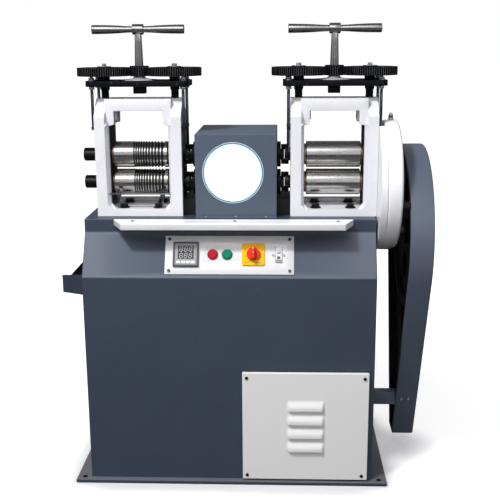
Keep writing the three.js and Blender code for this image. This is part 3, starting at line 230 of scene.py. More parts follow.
AXIS_STRETCH = {"X": (1.0, 0.015, 0.015), "Z": (0.015, 0.015, 1.0)}


def turned_steel(name, colour, shade, axis, rough=0.22, lines=2600.0, depth=0.00002,
                 stain=0.12):
    """Bright steel off the lathe: fine rings round the axis, with fingermarks and dull bands."""
    net = Net(name, Metallic=1.0)
    rings = net.noise(lines, 2.0, stretch=AXIS_STRETCH[axis])
    bands = net.noise(60.0, 3.0, stretch=AXIS_STRETCH[axis])
    smudges = net.noise(22.0, 4.0).above(0.58, 0.2)
    return net.dress(
        Base_Color=net.blend(colour, shade, bands * 0.35 + smudges * stain),
        Roughness=rough + rings * 0.08 + smudges * (stain * 0.4),
        Normal=net.relief(rings, depth, 0.7),
    )


def cast_metal(name, colour, light, rough=0.55, grain=260.0, metallic=0.6):
    """A machined casting: pitted grain with oil stains."""
    net = Net(name, Metallic=metallic)
    pits = net.noise(grain, 4.0, rough=0.7)
    stains = net.noise(14.0, 4.0)
    return net.dress(
        Base_Color=net.blend(colour, light, stains * 0.5 + pits * 0.3),
        Roughness=rough + stains * 0.15,
        Normal=net.relief(pits, 0.00025, 0.5),
    )


def moulded(name, colour, shade, rough=0.32, coat=0.2, shine=0.5):
    """Moulded plastic: a slight moulding haze and a very fine grain."""
    net = Net(name, Coat_Weight=coat, Coat_Roughness=0.1, Specular_IOR_Level=shine)
    haze = net.noise(70.0, 3.0)
    grain = net.noise(1500.0, 1.0)
    return net.dress(
        Base_Color=net.blend(colour, shade, haze * 0.5 + grain * 0.15),
        Roughness=rough + haze * 0.1,
        Normal=net.relief(grain, 0.00003, 0.5),
    )


def dusty_rubber(name):
    net = Net(name)
    dust = net.noise(90.0, 4.0)
    return net.dress(
        Base_Color=net.blend((0.012, 0.012, 0.013), (0.07, 0.07, 0.07), dust * 0.5),
        Roughness=0.7 + dust * 0.2,
        Normal=net.relief(net.noise(900.0, 1.0), 0.0001, 0.5),
    )


def stock(slot, finish, *rows):
    """Materials of one kind of finish, one from each row; the slot is not used."""
    made = [finish(*row) for row in rows]
    return made


SLATE, SLATE_CONSOLE_LIT, SLATE_BASE_TOP_LIT, SLATE_TRAY_SHADED, SLATE_HOOD_LIT, SLATE_GUARD_LIT, SLATE_PAINTED_SHADE = stock(
    "slate_paint", powder_coat,
    ("slate_powder_coat", (0.026, 0.038, 0.062), (0.040, 0.055, 0.084), 0.4),
    # Painted light: a lighter copy of the slate for the console's slope, which faces up towards the
    # lamps.
    ("console_powder_coat", (0.074, 0.090, 0.122), (0.098, 0.116, 0.152), 0.36),
    # Painted light: a lighter copy of the slate for the base plate's top, whose edges keep the
    # plain slate.
    ("base_powder_coat", (0.105, 0.113, 0.132), (0.150, 0.158, 0.178)),
    # Painted shade: a darker copy of the slate for the side tray.
    ("tray_powder_coat", (0.019, 0.029, 0.048), (0.030, 0.043, 0.066)),
    # Painted light: a lighter copy of the slate for the gearbox cover, which stands higher, nearer
    # the lamps.
    ("hood_powder_coat", (0.064, 0.086, 0.122), (0.090, 0.114, 0.155), 0.42, 650.0, 0.3),
    # Painted light: a lighter copy of the slate for the belt guard and its bracket.
    ("guard_powder_coat", (0.074, 0.094, 0.134), (0.108, 0.132, 0.178), 0.36, 650.0, 0.8),
    # Painted shade: a near black slate for the cabinet's inside, the guard's inside and the base's
    # bolt holes.
    ("slate_inside", (0.003, 0.0035, 0.005), (0.006, 0.007, 0.009), 0.8, 650.0, 0.2))
WHITE, REST_TOP_LIT, REST_LIP_SHADED, PANEL_WHITE, CASING_WHITE = stock(
    "white_paint", enamel,
    ("white_enamel", (0.74, 0.74, 0.775), (0.61, 0.62, 0.655)),
    # Painted light and shade: a lighter white for the work rest's top and a darker one for its
    # edges.
    ("work_rest_enamel", (0.88, 0.88, 0.89), (0.84, 0.84, 0.85), 0.34, 18.0),
    ("work_rest_lip", (0.66, 0.66, 0.68), (0.56, 0.56, 0.58), 0.34, 18.0),
    ("panel_enamel", (0.61, 0.61, 0.62), (0.58, 0.58, 0.59), 0.25, 12.0),
    ("casing_enamel", (0.88, 0.88, 0.90), (0.76, 0.77, 0.80)))
[COVER] = stock("cover_paint", powder_coat, (
    "cover_powder_coat", (0.71, 0.70, 0.685), (0.77, 0.76, 0.745), 0.4, 900.0, 0.3))
[MOTOR_PAINT] = stock("motor_paint", enamel, (
    "motor_enamel", (0.030, 0.065, 0.115), (0.018, 0.036, 0.065), 0.42))
BLACK, BLACK_BOLT = stock(
    "black_steel", oxide,
    ("black_oxide", (0.010, 0.011, 0.014), (0.024, 0.027, 0.036)),
    ("black_bolt", (0.014, 0.014, 0.015), (0.035, 0.035, 0.037), 0.32))
STEEL_X, STEEL_Z, TIP_WEAR_AND_HIGHLIGHT, NECK, STUB, ROLL_GROOVE_SHADE, ROD_STEEL, ZINC, BRONZE = stock(
    "bright_steel", turned_steel,
    ("bright_steel_x", (0.50, 0.49, 0.48), (0.32, 0.31, 0.30), "X", 0.24, 2600.0, 0.000003),
    ("bright_steel_z", (0.50, 0.49, 0.48), (0.32, 0.31, 0.30), "Z", 0.16, 2600.0, 0.000003),
    # Wear and painted highlight: lighter steel on the gear teeth's tips.
    ("worn_tooth_tip", (0.34, 0.34, 0.35), (0.09, 0.09, 0.095), "Z", 0.3, 600.0),
    ("oiled_neck", (0.040, 0.041, 0.045), (0.018, 0.018, 0.020), "X", 0.3),
    ("roll_stub", (0.20, 0.20, 0.21), (0.08, 0.08, 0.085), "Z", 0.22),
    # Painted shade: darker steel down in the roll's wire grooves.
    ("oiled_groove", (0.085, 0.082, 0.08), (0.04, 0.038, 0.036), "X", 0.26, 3000.0),
    ("lift_rod_steel", (0.16, 0.175, 0.21), (0.07, 0.078, 0.10), "Z"),
    ("zinc_plate", (0.66, 0.67, 0.69), (0.42, 0.43, 0.45), "Z", 0.3, 900.0),
    ("bronze", (0.40, 0.31, 0.20), (0.24, 0.17, 0.10), "X", 0.34, 1500.0))
[FLANGE] = stock("bright_steel", cast_metal, (
    "thrust_flange_steel", (0.50, 0.50, 0.51), (0.72, 0.72, 0.73), 0.3, 900.0, 0.4))
[ROLL] = stock("polished_steel", turned_steel, (
    "ground_roll", (0.56, 0.55, 0.53), (0.38, 0.365, 0.34), "X", 0.17, 3800.0, 0.000002, 0.2))
IRON, PULLEY_IRON_SHADED = stock(
    "dark_cast", cast_metal,
    ("oiled_casting", (0.012, 0.013, 0.015), (0.034, 0.036, 0.040)),
    # Painted shade: a near black iron for the pulleys in the guard's shadow.
    ("pulley_casting", (0.006, 0.007, 0.008), (0.018, 0.019, 0.022), 0.6))
RUBBER, TRIM = stock("black_rubber", dusty_rubber, ("belt_rubber",), ("edge_trim",))
BLACK_PLASTIC, GREY_FACE, METER_WINDOW, SEGMENT, GREY_PLASTIC = stock(
    "black_plastic", moulded,
    ("black_moulding", (0.030, 0.032, 0.036), (0.045, 0.047, 0.052)),
    ("meter_face", (0.33, 0.335, 0.345), (0.28, 0.285, 0.29), 0.5, 0.0, 0.2),
    ("meter_window", (0.05, 0.051, 0.054), (0.04, 0.041, 0.043), 0.7, 0.0, 0.1),
    ("meter_segment", (0.50, 0.505, 0.51), (0.46, 0.465, 0.47), 0.6, 0.0, 0.2),
    ("grey_moulding", (0.20, 0.20, 0.205), (0.15, 0.15, 0.155), 0.4))
RED, KNOB_RED = stock(
    "red_plastic", moulded,
    ("red_moulding", (0.42, 0.008, 0.022), (0.34, 0.006, 0.016), 0.5, 0.0, 0.25),
    ("knob_moulding", (0.72, 0.030, 0.010), (0.60, 0.022, 0.008), 0.5, 0.0, 0.25))
[GREEN] = stock("green_plastic", moulded, (
    "green_moulding", (0.001, 0.20, 0.11), (0.001, 0.15, 0.08), 0.5, 0.0, 0.25))
[YELLOW] = stock("yellow_plastic", moulded, (
    "yellow_moulding", (0.84, 0.48, 0.003), (0.76, 0.40, 0.002), 0.5, 0.0, 0.25))
[WHITE_PLASTIC] = stock("white_plastic", moulded, (
    "white_moulding", (0.74, 0.74, 0.73), (0.64, 0.64, 0.63), 0.35))
VINYL, TEAL = stock(
    "white_paint", moulded,
    ("label_vinyl", (0.97, 0.975, 0.98), (0.95, 0.955, 0.96), 0.26, 0.2),
    ("label_ring", (0.003, 0.27, 0.42), (0.002, 0.23, 0.36), 0.5, 0.0))


# Outlines
def arc(centre, radius, start, stop, steps):
    """Points on an arc, with its angles in degrees."""
    turns = [math.radians(start + (stop - start) * i / steps) for i in range(steps + 1)]
    return [(centre[0] + radius * math.cos(a), centre[1] + radius * math.sin(a)) for a in turns]


def circle(centre, radius, steps):
    return arc(centre, radius, 0, 360, steps)[:-1]


def box_outline(low_u, high_u, low_v, high_v):
    return [(low_u, low_v), (high_u, low_v), (high_u, high_v), (low_u, high_v)]


def around(centre, half_u, half_v):
    """A box outline round its centre."""
    u, v = centre
    return box_outline(u - half_u, u + half_u, v - half_v, v + half_v)


def moved(points, u, v):
    return [(a + u, b + v) for a, b in points]


def span(x, way, a, b):
    """From a to b, measured from x one way or the other, as low and high."""
    return tuple(sorted((x + way * a, x + way * b)))


def quarter_round(radius, steps):
    """How far an edge's round stands in from its two faces, step by step."""
    turns = [math.pi / 2 * i / max(steps, 1) for i in range(steps + 1)]
    return [(radius * (1 - math.sin(a)), radius * (1 - math.cos(a))) for a in turns]


def rounded(points, radius, steps=5, closed=True):
    """An outline with its corners rounded to the radius, or to what its edges have room for."""
    count = len(points)
    result = []
    for i, point in enumerate(points):
        here = Vector(point)
        back = Vector(points[i - 1]) - here
        ahead = Vector(points[(i + 1) % count]) - here
        kept = radius <= 0 or not closed and i in (0, count - 1)
        half = 0.0 if kept else back.angle(ahead) / 2
        if kept or half > math.radians(88) or half < math.radians(2):
            result.append(point)
            continue
        room = min(back.length, ahead.length) * 0.48
        reach_in = min(radius / math.tan(half), room)
        true_radius = reach_in * math.tan(half)
        inwards = (back.normalized() + ahead.normalized()).normalized()
        centre = here + inwards * (true_radius / math.sin(half))
        first = here + back.normalized() * reach_in - centre
        last = here + ahead.normalized() * reach_in - centre
        sweep = first.angle_signed(last)
        for k in range(steps + 1):
            turn = -sweep * k / steps
            cos, sin = math.cos(turn), math.sin(turn)
            result.append((centre.x + first.x * cos - first.y * sin,
                           centre.y + first.x * sin + first.y * cos))
    return result


def area(points):
    return sum(a[0] * b[1] - b[0] * a[1] for a, b in zip(points, points[1:] + points[:1])) / 2


def inset(points, distance):
    """An anticlockwise outline moved inwards, and a clockwise one outwards, by the distance."""
    result = []
    for i, point in enumerate(points):
        back = (Vector(point) - Vector(points[i - 1])).normalized()
        ahead = (Vector(points[(i + 1) % len(points)]) - Vector(point)).normalized()
        along = (back + ahead).normalized()
        square = Vector((-along.y, along.x))
        stretch = max(0.35, Vector((-ahead.y, ahead.x)).dot(square))
        result.append((Vector(point) + square * (distance / stretch))[:])
    return result


# Solids, made in millimetres
def stand(axis, u, v, w):
    """A point of an outline (u, v) at w along the axis."""
    return {"X": (w, u, v), "Y": (u, w, v), "Z": (u, v, w)}[axis]


def bands(bm, rings):
    """Joins rings of points, each to the next. A ring of one point is a tip."""
    for lower, upper in zip(rings, rings[1:]):
        count = max(len(lower), len(upper))
        for i in range(count):
            j = (i + 1) % count
            corners = dict.fromkeys((lower[i % len(lower)], lower[j % len(lower)],
                                     upper[j % len(upper)], upper[i % len(upper)]))
            if len(corners) > 2:
                bm.faces.new(list(corners))


def fill(bm, rims, edges=()):
    """Fills a flat face inside its outer rim and outside the others."""
    edges = [bm.edges.get((rim[i - 1], rim[i])) for rim in rims for i in range(len(rim))] + [*edges]
    bmesh.ops.triangle_fill(bm, use_beauty=True, use_dissolve=False, edges=edges)


def slab(bm, axis, outlines, low, high, edge=0.0, steps=3):
    """A plate from an outer outline and its holes, with its edges rounded."""
    loops = [outlines[0] if area(outlines[0]) > 0 else outlines[0][::-1]]
    loops += [hole if area(hole) < 0 else hole[::-1] for hole in outlines[1:]]
    levels = [(shift, low + up) for shift, up in quarter_round(edge, steps if edge else 0)]
    levels += [(shift, low + high - w) for shift, w in reversed(levels)]
    ends = []
    for loop in loops:
        rings = [[bm.verts.new(stand(axis, u, v, w))
                  for u, v in (inset(loop, shift) if shift else loop)] for shift, w in levels]
        bands(bm, rings)
        ends.append((rings[0], rings[-1]))
    for rims in zip(*ends):
        fill(bm, rims)
    return bm


def lathe(bm, axis, profile, centre, steps, edge=0.0, fine=3, ring=False):
    """Turns a profile of (radius, along) points round the centre: a solid, or a ring."""
    profile = rounded(profile, edge, fine, ring)
    rings = []
    for radius, along in profile + (profile[:1] if ring else []):
        points = [centre] if radius <= 1e-6 else circle(centre, radius, steps)
        rings.append([bm.verts.new(stand(axis, u, v, along)) for u, v in points])
    bands(bm, rings)
    return bm


def shaft(bm, axis, radius, low, high, centre, edge, steps=40):
    profile = [(0, low), (radius, low), (radius, high), (0, high)]
    return lathe(bm, axis, profile, centre, steps, edge)


def tube(bm, axis, inner, outer, low, high, centre, edge, steps=48):
    return lathe(bm, axis, box_outline(inner, outer, low, high), centre, steps, edge, ring=True)


def skin(bm, axis, outline, stations, closed=False):
    """Lofts an outline through (inset, place) stations."""
    rings = [[bm.verts.new(stand(axis, u, v, w)) for u, v in inset(outline, shift)]
             for shift, w in stations]
    bands(bm, rings + rings[:1] if closed else rings)
    return rings


def block(bm, spans, edge, steps=3):
    """A box with rounded edges from its three spans."""
    (x0, x1), (y0, y1), (z0, z1) = spans
    outline = rounded(box_outline(x0, x1, y0, y1), edge, steps)
    return slab(bm, "Z", [outline], z0, z1, edge, steps)


# Pieces
def settle(name, bm, material, body="frame", nodes=(), place=None, sharp=32.0, slot=None):
    bmesh.ops.remove_doubles(bm, verts=bm.verts, dist=0.0005)
    bmesh.ops.recalc_face_normals(bm, faces=bm.faces)
    bmesh.ops.scale(bm, vec=(MM, MM, MM), verts=bm.verts)
    return finish_piece(name, bm, material, body, nodes, place, sharp)


def form(node, bm, material, body="frame", **more):
    """The piece that replaces one CAD node."""
    return settle(f"{node}_form", bm, material, body, [node], **more)


def smooth_shade(mesh, sharp=32.0):
    mesh.polygons.foreach_set("use_smooth", [True] * len(mesh.polygons))
    mesh.set_sharp_from_angle(angle=math.radians(sharp))


def finish_piece(name, bm, material, body, nodes, place=None, sharp=32.0):
    mesh = bpy.data.meshes.new(name)
    bm.to_mesh(mesh)
    bm.free()
    smooth_shade(mesh, sharp)
    mesh.materials.append(material)
    piece = link(name, mesh)
    if place is not None:
        piece.matrix_world = place
    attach(piece, body)
    if nodes:
        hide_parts(*nodes)
    return piece


def refinish(piece, *finishes):
    """Gives the faces that each test picks, by their centre in millimetres, another material."""
    for k, (material, picks) in enumerate(finishes):
        piece.data.materials.append(material)
        for face in piece.data.polygons:
            if picks(face.center / MM, face.normal):
                face.material_index = k + 1


def carved(mesh, tools):
    """A copy of a mesh with the tools, in millimetres, cut out of it."""
    bmesh.ops.recalc_face_normals(tools, faces=tools.faces)
    bmesh.ops.scale(tools, vec=(MM, MM, MM), verts=tools.verts)
    cutter_mesh = bpy.data.meshes.new("cutter")
    tools.to_mesh(cutter_mesh)
    tools.free()
    blank, cutter = (link("carving", data) for data in (mesh, cutter_mesh))
    cut = blank.modifiers.new("cut", "BOOLEAN")
    cut.object = cutter
    cut.operation = "DIFFERENCE"
    cut.solver = "EXACT"
    bpy.context.view_layer.update()
    result = bpy.data.meshes.new_from_object(
        blank.evaluated_get(bpy.context.evaluated_depsgraph_get()))
    for held in (blank, cutter):
        bpy.data.objects.remove(held)
    return result


def bevel(bm, width, segments, sharper_than, picks=lambda edge: True):
    """Rounds the edges that are sharper than the angle and that the test picks."""
    chosen = [e for e in bm.edges
              if len(e.link_faces) == 2 and e.calc_face_angle() > sharper_than and picks(e)]
    bmesh.ops.bevel(bm, geom=chosen, offset=width * MM, segments=segments, profile=0.5,
                    affect="EDGES", clamp_overlap=True)


def eased(node, width, material, wide=0.0, bends=None, cuts=None):
    """A CAD node's own form with its sharp edges rounded, and its folds more so."""
    bm = bmesh.new()
    solid = frame["nodes"][node].data
    bm.from_mesh(carved(solid, cuts) if cuts else solid)
    bmesh.ops.remove_doubles(bm, verts=bm.verts, dist=1e-6)
    bmesh.ops.dissolve_limit(bm, angle_limit=math.radians(1.0), verts=bm.verts, edges=bm.edges)
    if bends is not None:
        bevel(bm, wide, 5, 0.3, bends)
    bevel(bm, width, 3, 0.5)
    body = frame["nodes"][node]["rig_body"]
    return even_out(finish_piece(f"{node}_form", bm, material, body, [node]))


def even_out(piece):
    """Shades flat faces flat, beside their rounded edges."""
    piece.modifiers.new("even_shading", "WEIGHTED_NORMAL").keep_sharp = True
    return piece


def coat_node(node, material):
    """A CAD node that stays as it is, under its finish."""
    data = frame["nodes"][node].data
    data.materials.clear()
    data.materials.append(material)


def reach(node):
    """A CAD node's box in millimetres, as its spans along X, Y and Z."""
    low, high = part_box(node)
    return tuple((low[i] / MM, high[i] / MM) for i in range(3))


def middle(ends):
    return (ends[0] + ends[1]) / 2


def middle_of(edge):
    return (edge.verts[0].co + edge.verts[1].co) / 2 / MM


def at(x, y, z):
    return Matrix.Translation(Vector((x, y, z)) * MM)


# Fasteners: each is made flat at the origin with its head towards +Z, then placed
UP = Matrix.Identity(4)
FRONT = Matrix.Rotation(math.radians(90), 4, "X")


def pan_head(radius, height):
    """A pan head with a cross recess."""
    long, half = radius * 0.55, radius * 0.2 / 2
    cross = [(half, -long), (half, -half), (long, -half), (long, half), (half, half), (half, long),
             (-half, long), (-half, half), (-long, half), (-long, -half), (-half, -half),
             (-half, -long)]
    bm = slab(bmesh.new(), "Z", [circle((0, 0), radius, 32), cross], height * 0.45, height,
              height * 0.4)
    return shaft(bm, "Z", radius * 0.97, 0, height * 0.5, (0, 0), 0.1, 32)


def hex_head(across, height, flange=0.0, flange_thick=0.0):
    radius = across / math.sqrt(3)
    bm = slab(bmesh.new(), "Z", [circle((0, 0), radius, 6)], flange_thick, height, height * 0.12, 2)
    if flange:
        shaft(bm, "Z", flange, 0, flange_thick + 0.05, (0, 0), flange_thick * 0.4, 40)
    return bm


def socket_head(radius, height):
    key = circle((0, 0), radius * 0.52, 6)
    bm = slab(bmesh.new(), "Z", [circle((0, 0), radius, 40), key], height * 0.4, height,
              radius * 0.12)
    return shaft(bm, "Z", radius, 0, height * 0.42, (0, 0), 0.1)


def washer_disc(radius, thick):
    return shaft(bmesh.new(), "Z", radius, 0, thick, (0, 0), thick * 0.3, 40)


def fasten(name, bm, material, position, twist=0.0, body="frame", facing=UP):
    place = at(*position) @ facing @ Matrix.Rotation(math.radians(twist), 4, "Z")
    return settle(name, bm, material, body, place=place)


# Base plate and cabinet
HOLE_INSET = 22.0
HOLE_RADIUS, HOLE_SEAT = 7.0, 16.0
SIDES = (-1, 1)
CORNERS = [(u, v) for u in SIDES for v in SIDES]


def base_plate():
    (x0, x1), (y0, y1), (z0, z1) = reach("base_plate")
    places = [(sx * (x1 - HOLE_INSET), sy * (y1 - HOLE_INSET)) for sx, sy in CORNERS]
    bm = bmesh.new()
    rims = skin(bm, "Z", rounded(box_outline(x0, x1, y0, y1), 2.5), [
        (1.2, z0), (0.35, z0 + 0.35), (0.0, z0 + 1.2), (0.0, z1 - 1.2), (0.35, z1 - 0.35),
        (1.2, z1)])
    for rim, seat in ((rims[0], HOLE_RADIUS), (rims[-1], HOLE_SEAT)):
        edges = []
        for place in places:
            ring = [bm.verts.new((u, v, rim[0].co.z)) for u, v in circle(place, seat, 40)]
            edges += [bm.edges.new((ring[i - 1], ring[i])) for i in range(len(ring))]
        fill(bm, [rim], edges)
    for place in places:
        lathe(bm, "Z", [(HOLE_RADIUS, z0), (HOLE_RADIUS, z1 - 1.1), (HOLE_RADIUS + 0.5, z1 - 0.6),
                        (15.8, z1 - 0.6), (HOLE_SEAT, z1)], place, 40)

    def in_hole(c):
        return any(math.hypot(c.x - u, c.y - v) < HOLE_RADIUS + 0.8 for u, v in places)

    # Painted light: the plate's top takes the lighter slate and its edges the plain slate.
    refinish(form("base_plate", bm, SLATE_BASE_TOP_LIT),
             # Painted shade on the bolt holes' walls.
             (SLATE_PAINTED_SHADE, lambda c, n: abs(n.z) < 0.9 and in_hole(c)),
             (SLATE, lambda c, n: abs(n.z) < 0.5 and not in_hole(c)))


KNEE = 620.0
CONSOLE_TOP = 738.0
CONSOLE_SLOPE = math.atan2(CONSOLE_TOP - KNEE, 67)
CABINET_FRONT = -220.0
CONSOLE = at(0, CABINET_FRONT, KNEE) @ Matrix.Rotation(CONSOLE_SLOPE, 4, "X")


def cabinet():
    (x0, x1), (y0, y1), (z0, z1) = reach("cabinet_shell")

    def outer_bend(edge):
        mid = middle_of(edge)
        along_x = abs((edge.verts[1].co - edge.verts[0].co).normalized().x) > 0.99
        long_fold = along_x and edge.calc_length() > (x1 - x0) * 0.999 * MM
        corner = abs(mid.x - x0) < 0.1 or abs(mid.x - x1) < 0.1
        return (long_fold or (corner and not along_x)) and mid.z > z0 + 1

    # Faces inside the cabinet, which take the painted shade.
    def shaded_inside(c, n):
        upper_front = n.y < -0.7 and c.z > CONSOLE_TOP - 1
        above = (c.y - y0) * math.sin(CONSOLE_SLOPE) - (c.z - KNEE) * math.cos(CONSOLE_SLOPE)
        return (x0 + 2 < c.x < x1 - 2 and y0 + 2 < c.y < y1 - 2 and c.z < z1 - 2
                and abs(above) >= 0.5 and not upper_front)

    refinish(eased("cabinet_shell", 0.5, SLATE, 3.2, outer_bend), (SLATE_PAINTED_SHADE, shaded_inside),
             # Painted light on the console's slope.
             (SLATE_CONSOLE_LIT, lambda c, n: n.y < -0.7 and 0.3 < n.z < 0.7))


# Access cover with pressed louvres
LOUVRE_COUNT = 4
LOUVRE_PITCH = 42.0
LOUVRE_WIDTH = 110.0
LOUVRE_HEIGHT = 29.5
LOUVRE_X = 217.5
LOUVRE_TOP = 263.5
LOUVRE_PROUD = 9.0
SHEET = 2.0


def smooth(t):
    t = min(1.0, max(0.0, t))
    return t * t * (3 - 2 * t)


def louvre_hood(bm, top, face):
    """A pressed hood: it swells out of the sheet from its top and ends in a lip over the slot."""
    across, down = 40, 16
    layers = []
    for inside in (0, 1):
        rows = []
        for j in range(down + 1):
            v = j / down
            row = []
            for i in range(across + 1):
                u = -1 + 2 * i / across
                side = smooth((1 - abs(u)) / 0.16)
                droop = 0.0 if v < 0.8 else -1.6 * (v - 0.8) / 0.2 * side
                row.append(bm.verts.new((
                    LOUVRE_X + u * (LOUVRE_WIDTH / 2),
                    face - LOUVRE_PROUD * (smooth(v * 1.25) * side) + inside * 1.4,
                    top - v * LOUVRE_HEIGHT + droop)))
            rows.append(row)
        layers.append(rows)
    for rows in layers:
        for j in range(down):
            for i in range(across):
                bm.faces.new((rows[j][i], rows[j][i + 1], rows[j + 1][i + 1], rows[j + 1][i]))
    rim = [(0, i) for i in range(across + 1)] + [(j, across) for j in range(1, down + 1)]
    rim += [(down, i) for i in range(across - 1, -1, -1)] + [(j, 0) for j in range(down - 1, 0, -1)]
    front, back = ([rows[j][i] for j, i in rim] for rows in layers)
    bands(bm, [front, back])


def access_cover():
    (x0, x1), (y0, y1), (z0, z1) = reach("access_cover")
    face = y0 + LOUVRE_PROUD
    outline = rounded(box_outline(x0, x1, z0, z1), 3.0)
    slot_half = LOUVRE_WIDTH * 0.42
    feet = [LOUVRE_TOP - LOUVRE_HEIGHT - i * LOUVRE_PITCH for i in range(LOUVRE_COUNT)]
    slots = [rounded(box_outline(LOUVRE_X - slot_half, LOUVRE_X + slot_half, foot - 1, foot + 7),
                     2.0) for foot in feet]
    bm = slab(bmesh.new(), "Y", [inset(outline, 1.5), *slots], face, face + SHEET, 0.3, 2)
    wall = [(shift, face + up) for shift, up in quarter_round(4.5, 5)]
    skin(bm, "Y", outline, wall + [(0.0, y1), (SHEET, y1), (SHEET, face + SHEET + 2)])
    for i in range(LOUVRE_COUNT):
        louvre_hood(bm, LOUVRE_TOP - i * LOUVRE_PITCH, face)
    even_out(form("access_cover", bm, COVER, sharp=45.0))
    # A thin black frame behind the cover's edge, which shows as a dark line round it.
    rim = box_outline(x0 - 2.4, x1 + 2.4, z0 - 1.0, z1 + 3.0)
    settle("cover_dark_rim", slab(bmesh.new(), "Y", [rim, inset(outline, 1.0)], y1 - 2.0, y1 - 0.1,
                                0.4, 1), TRIM)
    for x, z in ((x0 + 13, z1 - 15), (x1 - 13, z1 - 15), (x0 + 13, z0 + 14), (x1 - 17, z0 + 14)):
        fasten(f"cover_screw_{round(x)}_{round(z)}", pan_head(4.6, 3.0), BLACK_BOLT, (x, face, z),
               20 + x % 40, facing=FRONT)


# Work rest and side tray
REST_SCREWS = (-270.0, 17.0, 304.0)


def work_rest():
    (x0, x1), (y0, y1), (z0, z1) = reach("work_rest")
    outline = rounded([(x0, y1), (x0 + 32.0, y0), (x1 - 27.0, y0), (x1, y1)], 2.0)
    screw_y = y1 - 26
    holes = [circle((x, screw_y), 5.2, 32) for x in REST_SCREWS]
    rest = form("work_rest", slab(bmesh.new(), "Z", [outline, *holes], z0, z1, 1.4), REST_TOP_LIT)
    # The rest's edges take the darker white, painted shade; its top keeps the lighter one, painted
    # light.
    refinish(rest, (REST_LIP_SHADED, lambda c, n: abs(n.z) < 0.5))
    for x in REST_SCREWS:
        fasten(f"rest_screw_{round(x)}", socket_head(5.0, 6.0), BLACK_BOLT,
               (x, screw_y, z1 - 5.4), x)


def side_tray():
    """The folded tray: its front plate stands out past the box behind it."""
    (x0, _), (y0, y1), (_, z1) = reach("side_tray")
    cuts = block(bmesh.new(), ((x0 - 5, x0 + 25), (y0 + 2.5, y1 + 5), (z1 - 8, z1 + 5)), 0.0)
    # The tray takes the darker copy of the slate: painted shade.
    eased("side_tray", 0.6, SLATE_TRAY_SHADED, cuts=cuts)


# Console: its pieces stand on the slope, with the panel's face at PANEL_FACE
PANEL_FACE = 3.3
SEAT = PANEL_FACE + 0.3
CONTROLS_UP = 68.0
PANEL_CENTRE = (1.0, 67.0)
PANEL_HALF = (181.0, 56.0)
METER_X = -121.0
METER = (METER_X, CONTROLS_UP)
BUTTON_X = {"red": -45.5, "green": -5.3}
SWITCH_X = 68.3
SWITCH = (SWITCH_X, CONTROLS_UP)
BREAKER_X = 139.2
BREAKER = (BREAKER_X, CONTROLS_UP)


def console_piece(name, bm, material, body="frame", nodes=(), **more):
    return settle(name, bm, material, body, nodes, CONSOLE, **more)


def pad(bm, centre, half_u, half_v, low, high, edge, steps=3):
    """A block of the console round a centre."""
    u, v = centre
    return block(bm, ((u - half_u, u + half_u), (v - half_v, v + half_v), (low, high)), edge, steps)


def control_panel():
    holes = [around(METER, 34.3, 34.3), around(BREAKER, 9.5, 23.3)]
    holes += [circle((x, CONTROLS_UP), 12.0, 48) for x in BUTTON_X.values()]
    outline = rounded(around(PANEL_CENTRE, *PANEL_HALF), 1.5)
    console_piece("control_panel_form", slab(
        bmesh.new(), "Z", [outline, *holes, circle(SWITCH, 10.0, 40)], 0.3, PANEL_FACE, 0.5, 2),
        PANEL_WHITE, nodes=["control_panel"])
    (u, v), (half_u, half_v) = PANEL_CENTRE, PANEL_HALF
    for su, sv in CORNERS:
        spot = CONSOLE @ at(u + su * (half_u - 12), v + sv * (half_v - 10), PANEL_FACE)
        settle(f"panel_screw_{su + 1}_{sv + 1}", pan_head(4.6, 2.6), ROD_STEEL,
               place=spot @ Matrix.Rotation(0.6 * su + sv, 4, "Z"))


def seven_segment(bm, u, v, width, height, level):
    """An unlit figure of seven bars, which leans to the right."""
    bar = height * 0.11
    half_w, half_h = width / 2 - bar / 2, height / 2 - bar / 2
    b = bar / 2
    a = half_w - bar * 0.35
    flat = [(-a, 0), (-a + b, -b), (a - b, -b), (a, 0), (a - b, b), (-a + b, b)]
    bars = [[(u + 0 + cv * 0.12 + p, v + cv + q) for p, q in flat] for cv in (half_h, 0, -half_h)]
    a = half_h / 2 - bar * 0.35
    tall = [(0, -a), (b, -a + b), (b, a - b), (0, a), (-b, a - b), (-b, -a + b)]
    bars += [[(u + cu + (cv + q) * 0.12 + p, v + cv + q) for p, q in tall]
             for cv in (half_h / 2, -half_h / 2) for cu in (-half_w, half_w)]
    for points in bars:
        slab(bm, "Z", [points], level, level + 0.25)


